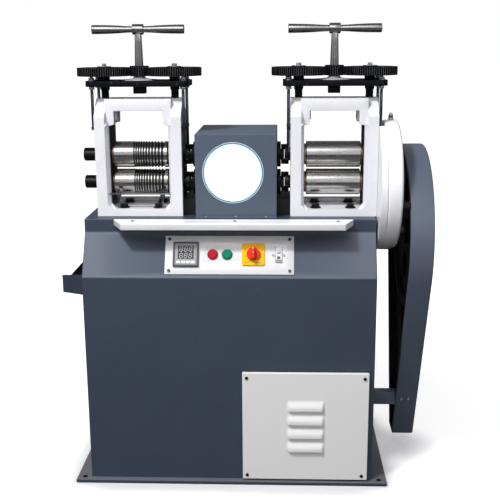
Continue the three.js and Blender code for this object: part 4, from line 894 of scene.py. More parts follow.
def digital_meter():
    top = SEAT + 7.0
    level = top - 1.6
    window = rounded(around(METER, 31, 31), 1.5)
    bm = slab(bmesh.new(), "Z", [rounded(around(METER, 36.0, 36.0), 2.5), window], SEAT, top, 1.0)
    pad(bm, METER, 33.5, 33.5, PANEL_FACE - 55, PANEL_FACE + 2, 0.6)
    console_piece("meter_bezel", bm, BLACK_PLASTIC, nodes=["digital_meter"])
    face = slab(bmesh.new(), "Z", [inset(window, 0.3)], PANEL_FACE + 2, level, 0.2, 1)
    console_piece("meter_face", face, GREY_FACE)
    pane = rounded(box_outline(METER_X - 22, METER_X + 22, CONTROLS_UP - 14, CONTROLS_UP + 24), 1)
    console_piece("meter_pane", slab(bmesh.new(), "Z", [pane], level, level + 0.3), METER_WINDOW)
    figures, keys, lamps = bmesh.new(), bmesh.new(), bmesh.new()
    for row in (14.5, -4.5):
        for i in range(3):
            seven_segment(figures, METER_X - 13 + i * 13, CONTROLS_UP + row, 9.5, 15, level + 0.3)
    for i in range(4):
        left = METER_X - 26 + i * 13.4
        key = rounded(box_outline(left, left + 11.6, CONTROLS_UP - 27, CONTROLS_UP - 19.5), 1.5)
        slab(keys, "Z", [key], level, level + 0.9, 0.3, 2)
    for row in (20, 9, -2):
        shaft(lamps, "Z", 1.1, level, level + 0.5, (METER_X + 26.5, CONTROLS_UP + row), 0.2, 20)
    console_piece("meter_figures", figures, SEGMENT)
    console_piece("meter_keys", keys, WHITE_PLASTIC)
    console_piece("meter_lamps", lamps, GREY_PLASTIC)


def push_button(colour, material, body):
    centre = (BUTTON_X[colour], CONTROLS_UP)
    top = PANEL_FACE + 7.0
    ring = tube(bmesh.new(), "Z", 12.0, 15.0, PANEL_FACE, PANEL_FACE + 4.0, centre, 0.9, 56)
    console_piece(f"{colour}_bezel", ring, material)
    profile = [(0, PANEL_FACE - 26), (7, PANEL_FACE - 26), (7, PANEL_FACE - 7.2),
               (11.5, PANEL_FACE - 7.2), (11.5, top), (8.2, top), (7.2, top - 0.5), (0, top - 0.7)]
    cap = lathe(bmesh.new(), "Z", profile, centre, 56, 0.9, 4)
    console_piece(f"{colour}_cap", cap, material, body, [f"{colour}_button"])


def switch():
    plate_top = SEAT + 4.0
    bm = slab(bmesh.new(), "Z", [rounded(around(SWITCH, 32.0, 32.0), 5.0, 6),
                                 circle(SWITCH, 5.5, 32)], SEAT, plate_top, 1.0)
    tube(bm, "Z", 5.5, 21.0, plate_top - 0.2, plate_top + 3.0, SWITCH, 0.8, 64)
    console_piece("switch_plate_form", bm, YELLOW, nodes=["switch_plate"])
    marks = bmesh.new()
    ink = (plate_top, plate_top + 0.15)
    block(marks, ((SWITCH_X - 22.5, SWITCH_X - 21.3), (CONTROLS_UP + 11, CONTROLS_UP + 16), ink),
          0.05, 1)
    tube(marks, "Z", 1.7, 2.7, *ink, (SWITCH_X + 23, CONTROLS_UP + 13.5), 0.05, 28)
    for left, wide in ((-24, 7.5), (-15, 4.5), (6, 17)):
        block(marks, ((SWITCH_X + left, SWITCH_X + left + wide),
                      (CONTROLS_UP - 24.2, CONTROLS_UP - 23), ink), 0.05, 1)
    console_piece("switch_marks", marks, BLACK_PLASTIC)
    foot = PANEL_FACE + 4.0 + 3.0 + 0.6
    skirt = [(0, PANEL_FACE - 10), (5, PANEL_FACE - 10), (5, foot), (18.5, foot),
             (18.5, foot + 6), (17, foot + 6.6), (0, foot + 6.6)]
    knob = lathe(bmesh.new(), "Z", skirt, SWITCH, 64, 0.8)
    grip = [(-4.8, -17), (4.8, -17), (5.0, 12), (0, 19), (-5.0, 12)]
    slab(knob, "Z", [rounded([(SWITCH_X + u, CONTROLS_UP + v) for u, v in grip], 1.6)],
         foot + 5.5, foot + 21, 1.6)
    console_piece("switch_knob_form", knob, KNOB_RED, "main_switch", ["switch_knob"])
    pins = bmesh.new()
    for v in (11.5, 0):
        shaft(pins, "Z", 1.5, foot + 20.5, foot + 21.15, (SWITCH_X, CONTROLS_UP + v), 0.25, 24)
    console_piece("switch_knob_pins", pins, ZINC, "main_switch")


def breaker():
    top = PANEL_FACE + 5.0
    half_u, half_v = 8.75, 22.5
    bm = slab(bmesh.new(), "Z", [rounded(around(BREAKER, half_u, half_v), 0.8, 3),
                                 around(BREAKER, 4.5, 13)], PANEL_FACE - 12, top, 0.6, 2)
    pad(bm, BREAKER, half_u, half_v, PANEL_FACE - 39.5, PANEL_FACE - 13, 0.6, 2)
    console_piece("breaker_form", bm, WHITE_PLASTIC, nodes=["breaker_body"], slot="black_plastic")
    shade = pad(bmesh.new(), BREAKER, 4.4, 12.9, PANEL_FACE - 13, PANEL_FACE - 11.8, 0.1, 1)
    low = CONTROLS_UP - half_v
    block(shade, ((BREAKER_X - 8.0, BREAKER_X + 8.0), (low + 1.2, low + 7.5), (top, top + 0.2)),
          0.1, 1)
    console_piece("breaker_shade", shade, GREY_PLASTIC)
    lever = shaft(bmesh.new(), "X", 7.0, -4.0, 4.0, (0, 0), 0.5, 40)
    block(lever, ((-4.0, 4.0), (-2.5, 2.5), (2, 15)), 0.9, 3)
    spot = CONSOLE @ at(*BREAKER, PANEL_FACE - 4) @ Matrix.Rotation(math.radians(-35), 4, "X")
    form("breaker_lever", lever, WHITE_PLASTIC, "breaker_toggle", place=spot)
    for side in (-15.0, 15.0):
        settle(f"breaker_screw_{round(side + 15)}", pan_head(3.4, 2.2), ZINC,
               place=CONSOLE @ at(BREAKER_X + side, CONTROLS_UP - 1.7, PANEL_FACE))


# Mill heads
GEARBOX_X = 18.0
ROLL_Y = -44.0
ROLL_LEVELS = {"lower": 865.0, "upper": 945.0}
FINE_GEAR_TEETH, FINE_PINION_TEETH = 75, 25
SPREAD = (middle(reach("left_inner_gear")[0]) - middle(reach("left_outer_gear")[0])) / 2
MODULE = 2 * SPREAD / (FINE_GEAR_TEETH + FINE_PINION_TEETH)
BRIDGE_BOTTOM, BRIDGE_TOP = 1140.0, 1156.0
ROD_X = 128.5
ROD_SPREAD = 46.0
OUTER_ROD_FOOT, INNER_ROD_FOOT = 1019.0, 956.0
THREAD_FOOT = 1117.5
SCREW_RADIUS = 11.5
GEAR_BORE = 11.8
NECK_BORE = 19.6
CHOCK_INNER, CHOCK_OUTER = 84, 122.3
CHOCK_HALF = 41.7
HANDLE_HEIGHT = 1296.0
PINION_LOW, PINION_HIGH = 1167.0, 1196.0
BACKLASH = 0.25
HEAD_SEAT = 795.4
ROLL_RADIUS = 37.5
ROLL_HALF = 77.5
GROOVE_START = -21.0
GROOVE_COUNT = 11


def involute_outline(teeth, phase, x):
    """A gear's outline with involute flanks; a tooth points along the phase, in radians."""
    pitch = teeth * MODULE / 2
    tip, root = pitch + MODULE, pitch - 1.25 * MODULE
    base = pitch * math.cos(math.radians(20))

    def roll_off(radius):
        lean = math.acos(min(1.0, base / radius))
        return math.tan(lean) - lean

    half = math.pi / (2 * teeth) - BACKLASH / (2 * pitch)
    points = []
    for tooth in range(teeth):
        for side in SIDES:
            for step in range(4):
                share = step / 3 if side < 0 else 1 - step / 3
                radius = root + (tip - root) * share
                angle = phase + 2 * math.pi * tooth / teeth + side * (
                    half + roll_off(pitch) - roll_off(max(radius, base)))
                points.append((radius * math.cos(angle), radius * math.sin(angle)))
    return moved(points, x, ROLL_Y)


def tips_wear_and_highlight(gear, teeth, x):
    # The tips are worn bright, and their lighter steel also stands in for a highlight along them:
    # painted highlight.
    tip = teeth * MODULE / 2 + MODULE - 0.7
    refinish(gear, (TIP_WEAR_AND_HIGHLIGHT, lambda c, n: abs(n.z) < 0.5
                    and math.hypot(c.x - x, c.y - ROLL_Y) > tip))


def screw_gear(node, side, body):
    (x0, x1), _, (z0, z1) = reach(node)
    x = middle((x0, x1))
    centre = (x, ROLL_Y)
    low, high = z1 - 25.0, z1 - 1.5
    phase = math.pi + math.pi / FINE_GEAR_TEETH if side > 0 else 0.0
    bore = circle(centre, GEAR_BORE, 40)
    bm = slab(bmesh.new(), "Z", [involute_outline(FINE_GEAR_TEETH, phase, x),
                                 circle(centre, 66.0, 72)], low, high, 0.5, 1)
    slab(bm, "Z", [circle(centre, 66.4, 72), bore], low + 1.4, high - 1.4, 0.2, 1)
    slab(bm, "Z", [circle(centre, 26.0, 56), bore], high - 2, z1 - 0.2, 0.6, 2)
    tube(bm, "Z", GEAR_BORE, 15.0, z0, low + 2, centre, 0.8)
    tips_wear_and_highlight(form(node, bm, BLACK, body), FINE_GEAR_TEETH, x)
    settle(f"{node}_washer", tube(bmesh.new(), "Z", 4.5, 19.5, z1 + 0.3, z1 + 2.1, centre, 0.5, 56),
           ZINC, body)
    fasten(f"{node}_bolt", hex_head(13.0, 7.6), ZINC, (*centre, z1 + 2.0), 17 * side, body)


def thread(bm, radius, pitch, low, high, centre, depth=1.2):
    """A screw thread: a helix cut into a shaft whose ends run out plain."""
    around_it, per_pitch = 36, 6
    rows = max(2, round((high - low) / pitch * per_pitch))
    rings = []
    for j in range(rows + 1):
        along = low + (high - low) * j / rows
        fade = min(1.0, min(along - low, high - along) / pitch)
        ring = []
        for i in range(around_it):
            turn = i / around_it
            wave = abs(((along / pitch - turn) % 1.0) - 0.5) * 2
            r = radius - depth * smooth(wave * 1.4 - 0.2) * max(0.0, fade)
            angle = 2 * math.pi * turn
            ring.append(bm.verts.new((centre[0] + r * math.cos(angle),
                                      centre[1] + r * math.sin(angle), along)))
        rings.append(ring)
    bands(bm, rings)
    bm.faces.new(rings[0][::-1])
    bm.faces.new(rings[-1])


def pressure_screw(node, body):
    ends, _, (z0, z1) = reach(node)
    centre = (middle(ends), ROLL_Y)
    collar_low = BRIDGE_BOTTOM - 10.3
    bm = shaft(bmesh.new(), "Z", SCREW_RADIUS, z0, z0 + 12, centre, 1.5)
    thread(bm, SCREW_RADIUS, 5.0, z0 + 11.8, collar_low + 0.2, centre)
    shaft(bm, "Z", 13.5, collar_low, BRIDGE_BOTTOM - 0.3, centre, 1.0, 48)
    shaft(bm, "Z", SCREW_RADIUS, BRIDGE_BOTTOM - 1, z1 - 3.8, centre, 0.8)
    form(node, bm, BLACK, body)


def bridge(head, x, body):
    node = f"{head}_bridge_plate"
    (x0, x1), (y0, y1), (z0, _) = reach(node)
    outline = [(x0 + 12, y0), (x1 - 12, y0), (x1, y0 + 12), (x1, y1 - 12), (x1 - 12, y1),
               (x0 + 12, y1), (x0, y1 - 12), (x0, y0 + 12)]
    holes = [circle((x + side * SPREAD, ROLL_Y), 12.3, 40) for side in SIDES]
    holes += [circle((x + sx * ROD_X, ROLL_Y + sy * ROD_SPREAD), 5.3, 24) for sx, sy in CORNERS]
    bm = slab(bmesh.new(), "Z", [rounded(outline, 1.5, 3), *holes], BRIDGE_BOTTOM, BRIDGE_TOP, 1.2)
    block(bm, ((x - 17, x + 17), (ROLL_Y - 17, ROLL_Y + 17), (z0 - 4.5, BRIDGE_BOTTOM + 1)), 1.2)
    form(node, bm, BLACK, body)
    profile = [(r, BRIDGE_TOP + t) for r, t in (
        (9.5, 0.1), (53, 0.1), (53, 1.8), (36, 3.0), (19, 5.4), (16.5, 9.8), (12.5, 10.0),
        (12.5, 5.0), (9.5, 5.0))]
    settle(f"{head}_thrust_flange",
           lathe(bmesh.new(), "Z", profile, (x, ROLL_Y), 96, 0.6, ring=True), FLANGE, body)


def lift_rods(head, x, body):
    for sx, sy in CORNERS:
        foot = OUTER_ROD_FOOT if (x > 0) == (sx > 0) else INNER_ROD_FOOT
        centre = (x + sx * ROD_X, ROLL_Y + sy * ROD_SPREAD)
        tag = f"{head}_rod_{sx + 1}_{sy + 1}"
        rod = shaft(bmesh.new(), "Z", 4.5, foot, THREAD_FOOT + 0.5, centre, 0.6, 32)
        thread(rod, 4.5, 1.5, THREAD_FOOT, BRIDGE_TOP + 11, centre, 0.5)
        settle(tag, rod, ROD_STEEL, body)
        for k, low in enumerate((BRIDGE_BOTTOM - 7.6, BRIDGE_TOP + 1.7)):
            fasten(f"{tag}_nut_{k}", hex_head(15.0, 7.2, 8.6, 1.4), ZINC, (*centre, low),
                   23 * sx + 11 * k, body)
        settle(f"{tag}_washer", tube(bmesh.new(), "Z", 4.8, 9.5, BRIDGE_TOP + 0.1, BRIDGE_TOP + 1.7,
                                     centre, 0.3), ZINC, body)


def chock(node, level, x, side, low, high, ring_gap, body, flange=()):
    """A chock, drawn towards the outside of its end: block, any flange, and thrust ring."""
    centre = (ROLL_Y, ROLL_LEVELS[level])
    outline = rounded(box_outline(ROLL_Y - CHOCK_HALF, ROLL_Y + CHOCK_HALF, low, high), 1.5, 3)
    bm = slab(bmesh.new(), "X", [outline, circle(centre, NECK_BORE, 48)],
              *span(x, side, CHOCK_INNER, CHOCK_OUTER), 1.0, 2)
    for heights in flange:
        block(bm, (span(x, side, 122, 133.6), (ROLL_Y - 53, ROLL_Y + 53), heights), 1.2)
    form(node, bm, IRON, body)
    inner, outer = span(x, side, ROLL_HALF + 0.3, CHOCK_INNER)
    settle(f"{node}_ring", tube(bmesh.new(), "X", NECK_BORE, 30.0, inner, outer - ring_gap, centre,
                                0.8, 64), BRONZE, body)


def wing(bm, centre, inner, outer, angle, low, high):
    """A driving wing: a sector of a ring, centred on the angle in degrees."""
    points = arc((0, 0), outer, angle - 20, angle + 20, 8)
    points += arc((0, 0), inner, angle + 20, angle - 20, 4)
    slab(bm, "X", [rounded(moved(points, *centre), 0.8, 2)], low, high, 0.6, 2)


def groove_points(radius):
    """Wire grooves with flat lands between, growing in pitch towards the gearbox."""
    points = []
    left = GROOVE_START
    for i in range(GROOVE_COUNT):
        pitch = 6.0 + 0.42 * i
        width = pitch * 0.72
        land = (pitch - width) / 2
        points.append((radius, left + land))
        for angle in [math.pi * k / 6 for k in range(1, 6)]:
            points.append((radius - width * 0.48 * math.sin(angle) ** 0.8,
                           left + land + width / 2 * (1 - math.cos(angle))))
        points.append((radius, left + pitch - land))
        left += pitch
    return points


def mill_roll(node, z, x, towards, body, grooved):
    """Roll with its necks, its driving wings towards the gearbox and its plain end outside."""
    low, high = reach(node)[0]
    end = x - low if towards > 0 else high - x
    radius, hub_end, centre = ROLL_RADIUS, 139.3, (ROLL_Y, z)
    profile = [(0, -end), (17, -end), (19, -end + 2), (19, -ROLL_HALF), (radius - 1.4, -ROLL_HALF),
               (radius, -ROLL_HALF + 1.4), *(groove_points(radius) if grooved else []),
               (radius, ROLL_HALF - 1.4), (radius - 1.4, ROLL_HALF), (19, ROLL_HALF),
               (19, hub_end - 12), (28, hub_end - 12), (29, hub_end - 11), (29, hub_end - 1),
               (28, hub_end), (0, hub_end)]
    bm = lathe(bmesh.new(), "X", [(r, x + towards * t) for r, t in profile], centre, 112)
    for angle in (90, -90):
        wing(bm, centre, 14.0, 29.0, angle, *span(x, towards, hub_end - 0.5, hub_end + 10))

    def from_axis(c):
        return math.hypot(c.y - ROLL_Y, c.z - z)

    def on_stub(c, n):
        return from_axis(c) < 30 and towards * (c.x - x) < -end + 3

    refinish(form(node, bm, ROLL, body, sharp=24.0), (STUB, on_stub),
             (NECK, lambda c, n: from_axis(c) < 30 and abs(n.x) < 0.3 and not on_stub(c, n)),
             # Painted shade in the grooves.
             (ROLL_GROOVE_SHADE, lambda c, n: 30 < from_axis(c) < radius - 0.25
              and abs(c.x - x) < ROLL_HALF - 2))


def coupling(node, z, towards, body):
    """Coupling disc on the gear shaft, its two jaws between the roll's wings."""
    face, centre = 126.0, (ROLL_Y, z)
    loop = rounded([(16.3, face - 22), (26, face - 22), (26, face - 10.0), (36.5, face - 10.0),
                    (36.5, face), (16.3, face)], 0.9, 3)
    bm = lathe(bmesh.new(), "X", [(r, GEARBOX_X - towards * t) for r, t in loop + loop[:1]],
               centre, 80)
    for angle in (0, 180):
        wing(bm, centre, 18.0, 36.5, angle, *span(GEARBOX_X, -towards, face - 0.5, face + 9.5))
    form(node, bm, BLACK, body)


def handle(head, x, body):
    """T handle: tapered stem through the pinion, cross hub and swelling bar."""
    stem, bar = f"{head}_handle_stem", f"{head}_handle_bar"
    height = HANDLE_HEIGHT
    z0 = reach(stem)[2][0]
    flange_top = BRIDGE_TOP + 5.3
    low, high = PINION_LOW, PINION_HIGH
    centre = (x, ROLL_Y)
    profile = [(0, z0), (9, z0), (9, flange_top), (12, flange_top), (12, low + 1),
               (12.2, high + 1), (11.5, high + 24), (10.2, height - 34), (9.8, height - 12),
               (0, height - 12)]
    bm = lathe(bmesh.new(), "Z", profile, centre, 56, 0.7)
    cross = [(8.8, x - 15.5), (14.5, x - 15.5), (14.5, x + 15.5), (8.8, x + 15.5)]
    lathe(bm, "X", cross, (ROLL_Y, height), 56, 1.5, 4, True)
    form(stem, bm, STEEL_Z, body)
    teeth = involute_outline(FINE_PINION_TEETH, 0.0, x)
    pinion = slab(bmesh.new(), "Z", [teeth, circle(centre, 12.2, 48)], low, high, 0.6, 1)
    tips_wear_and_highlight(settle(f"{head}_pinion", pinion, BLACK, body), FINE_PINION_TEETH, x)
    half = 130.0
    swell = [(8.5, 14), (9.3, 36), (11.0, 62), (12.1, 90), (12.5, half - 14), (12.5, half),
             (0, half)]
    profile = [(r, x - t) for r, t in reversed(swell)] + [(r, x + t) for r, t in swell]
    form(bar, lathe(bmesh.new(), "X", profile, (ROLL_Y, height), 56, 1.6, 4), STEEL_X, body)


def hold_down_bolts(head, x):
    for bx in (-50, 50):
        for k, by in enumerate((-85, 5)):
            tag = f"{head}_hold_down_{bx + 50}_{k}"
            fasten(f"{tag}_washer", washer_disc(15.5, 2.2), BLACK_BOLT, (x + bx, by, HEAD_SEAT))
            fasten(tag, hex_head(20.0, 9.5, 13.4, 1.8), BLACK_BOLT,
                   (x + bx, by, HEAD_SEAT + 2.2), bx + by)


def guide_bar():
    (x0, x1), (y0, y1), (z0, z1) = reach("left_guide_bar")
    low, high = z1 - 15.0, z1 - 11.0
    form("left_guide_bar", block(bmesh.new(), ((x0, x1), (y0, y1), (low, high)), 0.6, 2), STEEL_X)
    for side in SIDES:
        centre = (middle((x0, x1)) + side * 63, middle((y0, y1)))
        stud = shaft(bmesh.new(), "Z", 4.0, z0, z1 - 10, centre, 0.5, 32)
        thread(stud, 4.0, 1.5, z1 - 10.2, z1, centre, 0.5)
        settle(f"guide_stud_{side + 1}", stud, ROD_STEEL)
        for k, level in enumerate((low - 6.6, high + 0.1)):
            fasten(f"guide_nut_{side + 1}_{k}", hex_head(12.0, 6.4), ROD_STEEL, (*centre, level),
                   12 + 20 * k)


# Housing windows: their heights, and how far their sides stand from the middle
WINDOW_TOP = 1037.3
CROWN_WINDOW_TOP = 1072.3
HOUSING_FACE = 70.0
OPENING, POST, LINING, CROWN = 93.0, 94, 84.4, 69


def front_frame(bm, x, side, sill, top):
    """A housing face's inner frame: slanted post linings, shoulders and a set-back lintel."""
    def plate(points, inner, outer):
        slab(bm, "Y", [rounded([(x + u, z) for u, z in points], 2.0, 3)],
             *span(ROLL_Y, side, inner, outer), 1.2)

    for hand in SIDES:
        lining = [(x + hand * u, ROLL_Y + side * out) for u, out in (
            (93.5, 69.3), (LINING, 54.5), (LINING, 44.2), (93.5, 44.2))]
        slab(bm, "Z", [rounded(lining, 1.2, 3)], sill, WINDOW_TOP + 4)
        plate([(hand * u, z) for u, z in (
            (POST, sill - 1), (POST, sill + 24), (LINING, sill + 24), (LINING, sill + 15),
            (70, sill - 1))], 44.2, 56.0)
    step, foot = WINDOW_TOP + 1.2, WINDOW_TOP - 6.5
    plate([(POST, foot), (POST, top), (-POST, top), (-POST, foot), (-LINING, foot + 1.5),
           (-LINING, foot), (-CROWN, foot + 4), (-CROWN, CROWN_WINDOW_TOP),
           (CROWN, CROWN_WINDOW_TOP), (CROWN, foot + 4), (LINING, foot), (LINING, foot + 1.5)],
          44.2, 52.0)
    plate([(POST, step), (POST, top), (-POST, top), (-POST, step), (-CROWN, step),
           (-CROWN, CROWN_WINDOW_TOP), (CROWN, CROWN_WINDOW_TOP), (CROWN, step)], 20.0, 51.0)


def windowed(housing, x):
    """A mill housing with the set-back face inside its posts."""
    z0, z1 = reach(housing)[2]
    cuts, frames = bmesh.new(), bmesh.new()
    for side in SIDES:
        block(cuts, ((x - OPENING, x + OPENING), span(ROLL_Y, side, 21.2, HOUSING_FACE + 2),
                     (WINDOW_TOP - 1, z1 + 2)), 0.0)
        front_frame(frames, x, side, z0 + 20.0, z1 - 0.4)
    rear = ROLL_Y + HOUSING_FACE
    block(frames, ((x - 85, x + 85), (rear - 4.2, rear - 0.4), (z0 + 19, z0 + 30)), 0.8)
    eased(housing, 1.6, WHITE, cuts=cuts)
    settle(f"{housing}_face_frame", frames, WHITE)


def mill_head(head, towards):
    housing, lifted = f"{head}_housing", f"{head}_bridge"
    x = middle(reach(housing)[0])
    windowed(housing, x)
    for place, side in (("inner", towards), ("outer", -towards)):
        end = f"{head}_{place}"
        screw_gear(f"{end}_gear", side, f"{end}_screwdown")
        pressure_screw(f"{end}_screw", f"{end}_screwdown")
        chock(f"{end}_top_chock", "upper", x, side, ROLL_LEVELS["upper"] - 36, 1029, 0.05, lifted,
              [(1020, 1029)])
        chock(f"{end}_bottom_chock", "lower", x, side, HEAD_SEAT + 0.2,
              ROLL_LEVELS["lower"] + 39, 0.0, "frame")
    bridge(head, x, lifted)
    lift_rods(head, x, lifted)
    handle(head, x, f"{head}_handle")
    hold_down_bolts(head, x)
    for level, body, line in (("upper", f"{head}_top_roll", "upper_line"),
                              ("lower", "lower_line", "lower_line")):
        z = ROLL_LEVELS[level]
        mill_roll(f"{head}_{level}_roll", z, x, towards, body, head == "left")
        coupling(f"{head}_{level}_coupling", z, towards, line)


# Gearbox
LABEL_RADIUS = 86.0


def gearbox():
    (x0, x1), (y0, y1), (z0, z1) = reach("gearbox_cover")
    front = y0 + 15.0

    def outer_fold(edge):
        mid = middle_of(edge)
        return sum((abs(mid.x - x0) < 0.1 or abs(mid.x - x1) < 0.1,
                    abs(mid.y - front) < 0.1 or abs(mid.y - y1) < 0.1, abs(mid.z - z1) < 0.1)) >= 2

    # The gearbox cover takes the lighter copy of the slate: painted light.
    eased("gearbox_cover", 0.6, SLATE_HOOD_LIT, 2.6, outer_fold)
    eased("gearbox_stand", 1.2, IRON)
    for x in (-66.0, 18.0, 102.0):
        fasten(f"cover_flange_screw_{round(x)}", pan_head(5.0, 3.2), ZINC, (x, y0 + 7, z0 + 3.0), x)
    centre = (GEARBOX_X - 8.2, 902.5)
    disc = [(0, front - 0.45), (LABEL_RADIUS, front - 0.45), (LABEL_RADIUS, front - 0.05),
            (0, front - 0.05)]
    settle("label_disc", lathe(bmesh.new(), "Y", disc, centre, 128), VINYL)
    settle("label_ring", tube(bmesh.new(), "Y", 81.2, LABEL_RADIUS - 1, front - 0.6, front - 0.4,
                              centre, 0.04, 128), TEAL)


# Reducer casing, its plug, and the belt drive
PULLEY = (22.306, 704.129)
MOTOR = (35.0, 160.0)
PULLEY_X = 530.0
PULLEY_HALF = 16.0
PULLEY_RADIUS, MOTOR_PULLEY_RADIUS = 230.0, 55.0
BELT_PROUD = 2.0
CABINET_SIDE = 412.8
CASING = (ROLL_Y, 858.0)
CASING_RADIUS = 184.0
CASING_LEFT, CASING_RIGHT = 417.3, 476.0
BOLT_CIRCLE = 162.0
PLUG_SHANK = 6.0
GUARD_LEFT, GUARD_RIGHT = 498.0, 563.0
GUARD_RADIUS = 261.3
GUARD_BOTTOM = 52.0
GUARD_FOOT = (7.0, 85.0)


def heading(vector):
    return math.degrees(math.atan2(vector[1], vector[0]))


def two_circles(first, first_radius, second, second_radius):
    """The outline of a band round two circles, the second one the smaller."""
    across = Vector(second) - Vector(first)
    along = heading(across)
    lean = math.degrees(math.acos((first_radius - second_radius) / across.length))
    points = arc(first, first_radius, along + lean, along + 360 - lean, 96)
    return points + arc(second, second_radius, along - lean, along + lean, 32)


def reducer():
    left, right = CASING_LEFT, CASING_RIGHT
    notch_up, notch_half = 1010.0, 58.0
    outline = two_circles(CASING, CASING_RADIUS, PULLEY, 56.0)
    bm = slab(bmesh.new(), "X", [outline, circle(PULLEY, 16.6, 40)], left + 15.8, right, 8.5, 8)
    low_rim = [p for p in outline if p[1] < notch_up - 2 or abs(p[0] - ROLL_Y) > notch_half]
    start = low_rim.index(min((p for p in low_rim if p[1] > 990 and p[0] < ROLL_Y),
                              key=lambda p: ROLL_Y - p[0]))
    low_rim = low_rim[start:] + low_rim[:start]
    low_rim += [(ROLL_Y + notch_half, notch_up), (ROLL_Y - notch_half, notch_up)]
    slab(bm, "X", [low_rim], left, left + 16.2)
    block(bm, ((CABINET_SIDE, left + 1), (PULLEY[0] - 33, PULLEY[0] + 33), (690, 771)), 1.0)
    form("reducer_casing", bm, CASING_WHITE)
    bosses = bmesh.new()
    for place in guard_boss_places():
        shaft(bosses, "X", 11.0, right - 4, 497.7, place, 0.8, 32)
    settle("guard_bosses", bosses, IRON)
    foot = reach("filler_plug")[2][0] + PLUG_SHANK
    centre = (456.0, ROLL_Y)
    fasten("filler_plug_nut", hex_head(15.0, 3.6), ZINC, (*centre, foot), 8)
    stem = [(r, foot + t) for r, t in ((4.0, 3), (6.5, 3), (6.5, 12.5), (5.6, 13), (5.6, 15),
                                       (4.6, 18.6), (2.4, 20), (0, 20))]
    stem = [(0, foot - PLUG_SHANK), (4.0, foot - PLUG_SHANK), *stem]
    form("filler_plug", lathe(bmesh.new(), "Z", stem, centre, 40, 0.6), ZINC)
    settle("filler_plug_band", tube(bmesh.new(), "Z", 6.4, 6.9, foot + 6.5, foot + 11.5, centre,
                                    0.2, 40), MOTOR_PAINT)


def guard_boss_places():
    """Where the guard's return flange crosses the casing's bolt circle."""
    flange = GUARD_RADIUS - 7.0
    away = Vector(CASING) - Vector(PULLEY)
    lean = math.degrees(math.acos((away.length ** 2 + flange ** 2 - BOLT_CIRCLE ** 2)
                                  / (2 * away.length * flange)))
    towards = heading(away)
    return arc(PULLEY, flange, towards - lean, towards + lean, 1)


def guard_outline():
    """The guard's circle round the pulley and its straight edges down to a narrow foot."""
    def tangent(foot_y, way):
        to = (foot_y - PULLEY[0], GUARD_BOTTOM - PULLEY[1])
        return heading(to) + way * math.degrees(math.acos(GUARD_RADIUS / math.hypot(*to)))

    front, rear = GUARD_FOOT
    rim = arc(PULLEY, GUARD_RADIUS, tangent(rear, 1), tangent(front, -1) + 360, 120)
    return rounded([(front, GUARD_BOTTOM), (rear, GUARD_BOTTOM), *rim], 4.0, 4)


def guard_front_at(z):
    """A point of the guard's front edge, and the turn that faces out of it."""
    outline = guard_outline()
    a, b = max(((a, b) for a, b in zip(outline, outline[1:] + outline[:1])
                if min(a[1], b[1]) <= z <= max(a[1], b[1]) and a[0] < PULLEY[0] > b[0]),
               key=lambda pair: abs(pair[0][1] - pair[1][1]))
    y = a[0] + (b[0] - a[0]) * ((z - a[1]) / (b[1] - a[1]))
    low, high = sorted((a, b), key=lambda point: point[1])
    rise = math.atan2(high[1] - low[1], low[0] - high[0])
    return y, Matrix.Rotation(math.pi - rise, 4, "X")


def belt_guard():
    outline = guard_outline()
    flange = 10.0
    bend = [(up, GUARD_RIGHT - shift) for shift, up in quarter_round(5.0, 5)]
    outer = [(SHEET + flange, GUARD_LEFT), (1.0, GUARD_LEFT), (0.0, GUARD_LEFT + 1.0), *bend]
    inner = [(SHEET + flange, GUARD_LEFT), (SHEET + flange, GUARD_LEFT + SHEET),
             (SHEET, GUARD_LEFT + SHEET), (SHEET, GUARD_RIGHT - SHEET)]
    for name, material, nodes, stations in (
            # The guard's outside takes the lighter slate: painted light.
            ("belt_guard_outside", SLATE_GUARD_LIT, ["belt_guard"], outer),
            # Painted shade: the guard's inside is near black.
            ("belt_guard_inside_painted_shade", SLATE_PAINTED_SHADE, [], inner)):
        bm = bmesh.new()
        bm.faces.new(skin(bm, "X", outline, stations)[-1])
        settle(name, bm, material, nodes=nodes)
    bm = bmesh.new()
    lip = [(flange + 1.2, GUARD_LEFT - 1.2), (flange + 3.4, GUARD_LEFT - 1.2),
           (flange + 3.4, GUARD_LEFT + 3.2), (flange + 1.2, GUARD_LEFT + 3.2)]
    skin(bm, "X", outline, lip, True)
    settle("guard_edge_trim", bm, TRIM)
    bracket = block(bmesh.new(), ((CABINET_SIDE, GUARD_LEFT + 2), (-40, -6), (170, 210)), 1.0)
    # The bracket takes the guard's lighter slate: painted light.
    settle("guard_bracket", bracket, SLATE_GUARD_LIT)
    y, turn = guard_front_at(194.0)
    for k, x in enumerate((515.0, 535.0)):
        settle(f"guard_screw_{k}", pan_head(5.2, 3.0), ZINC, place=at(x, y, 194.0) @ turn)


def v_groove(radius):
    return [(radius, -8.9), (radius - 9.9, -5.3), (radius - 9.9, 5.3), (radius, 8.9)]


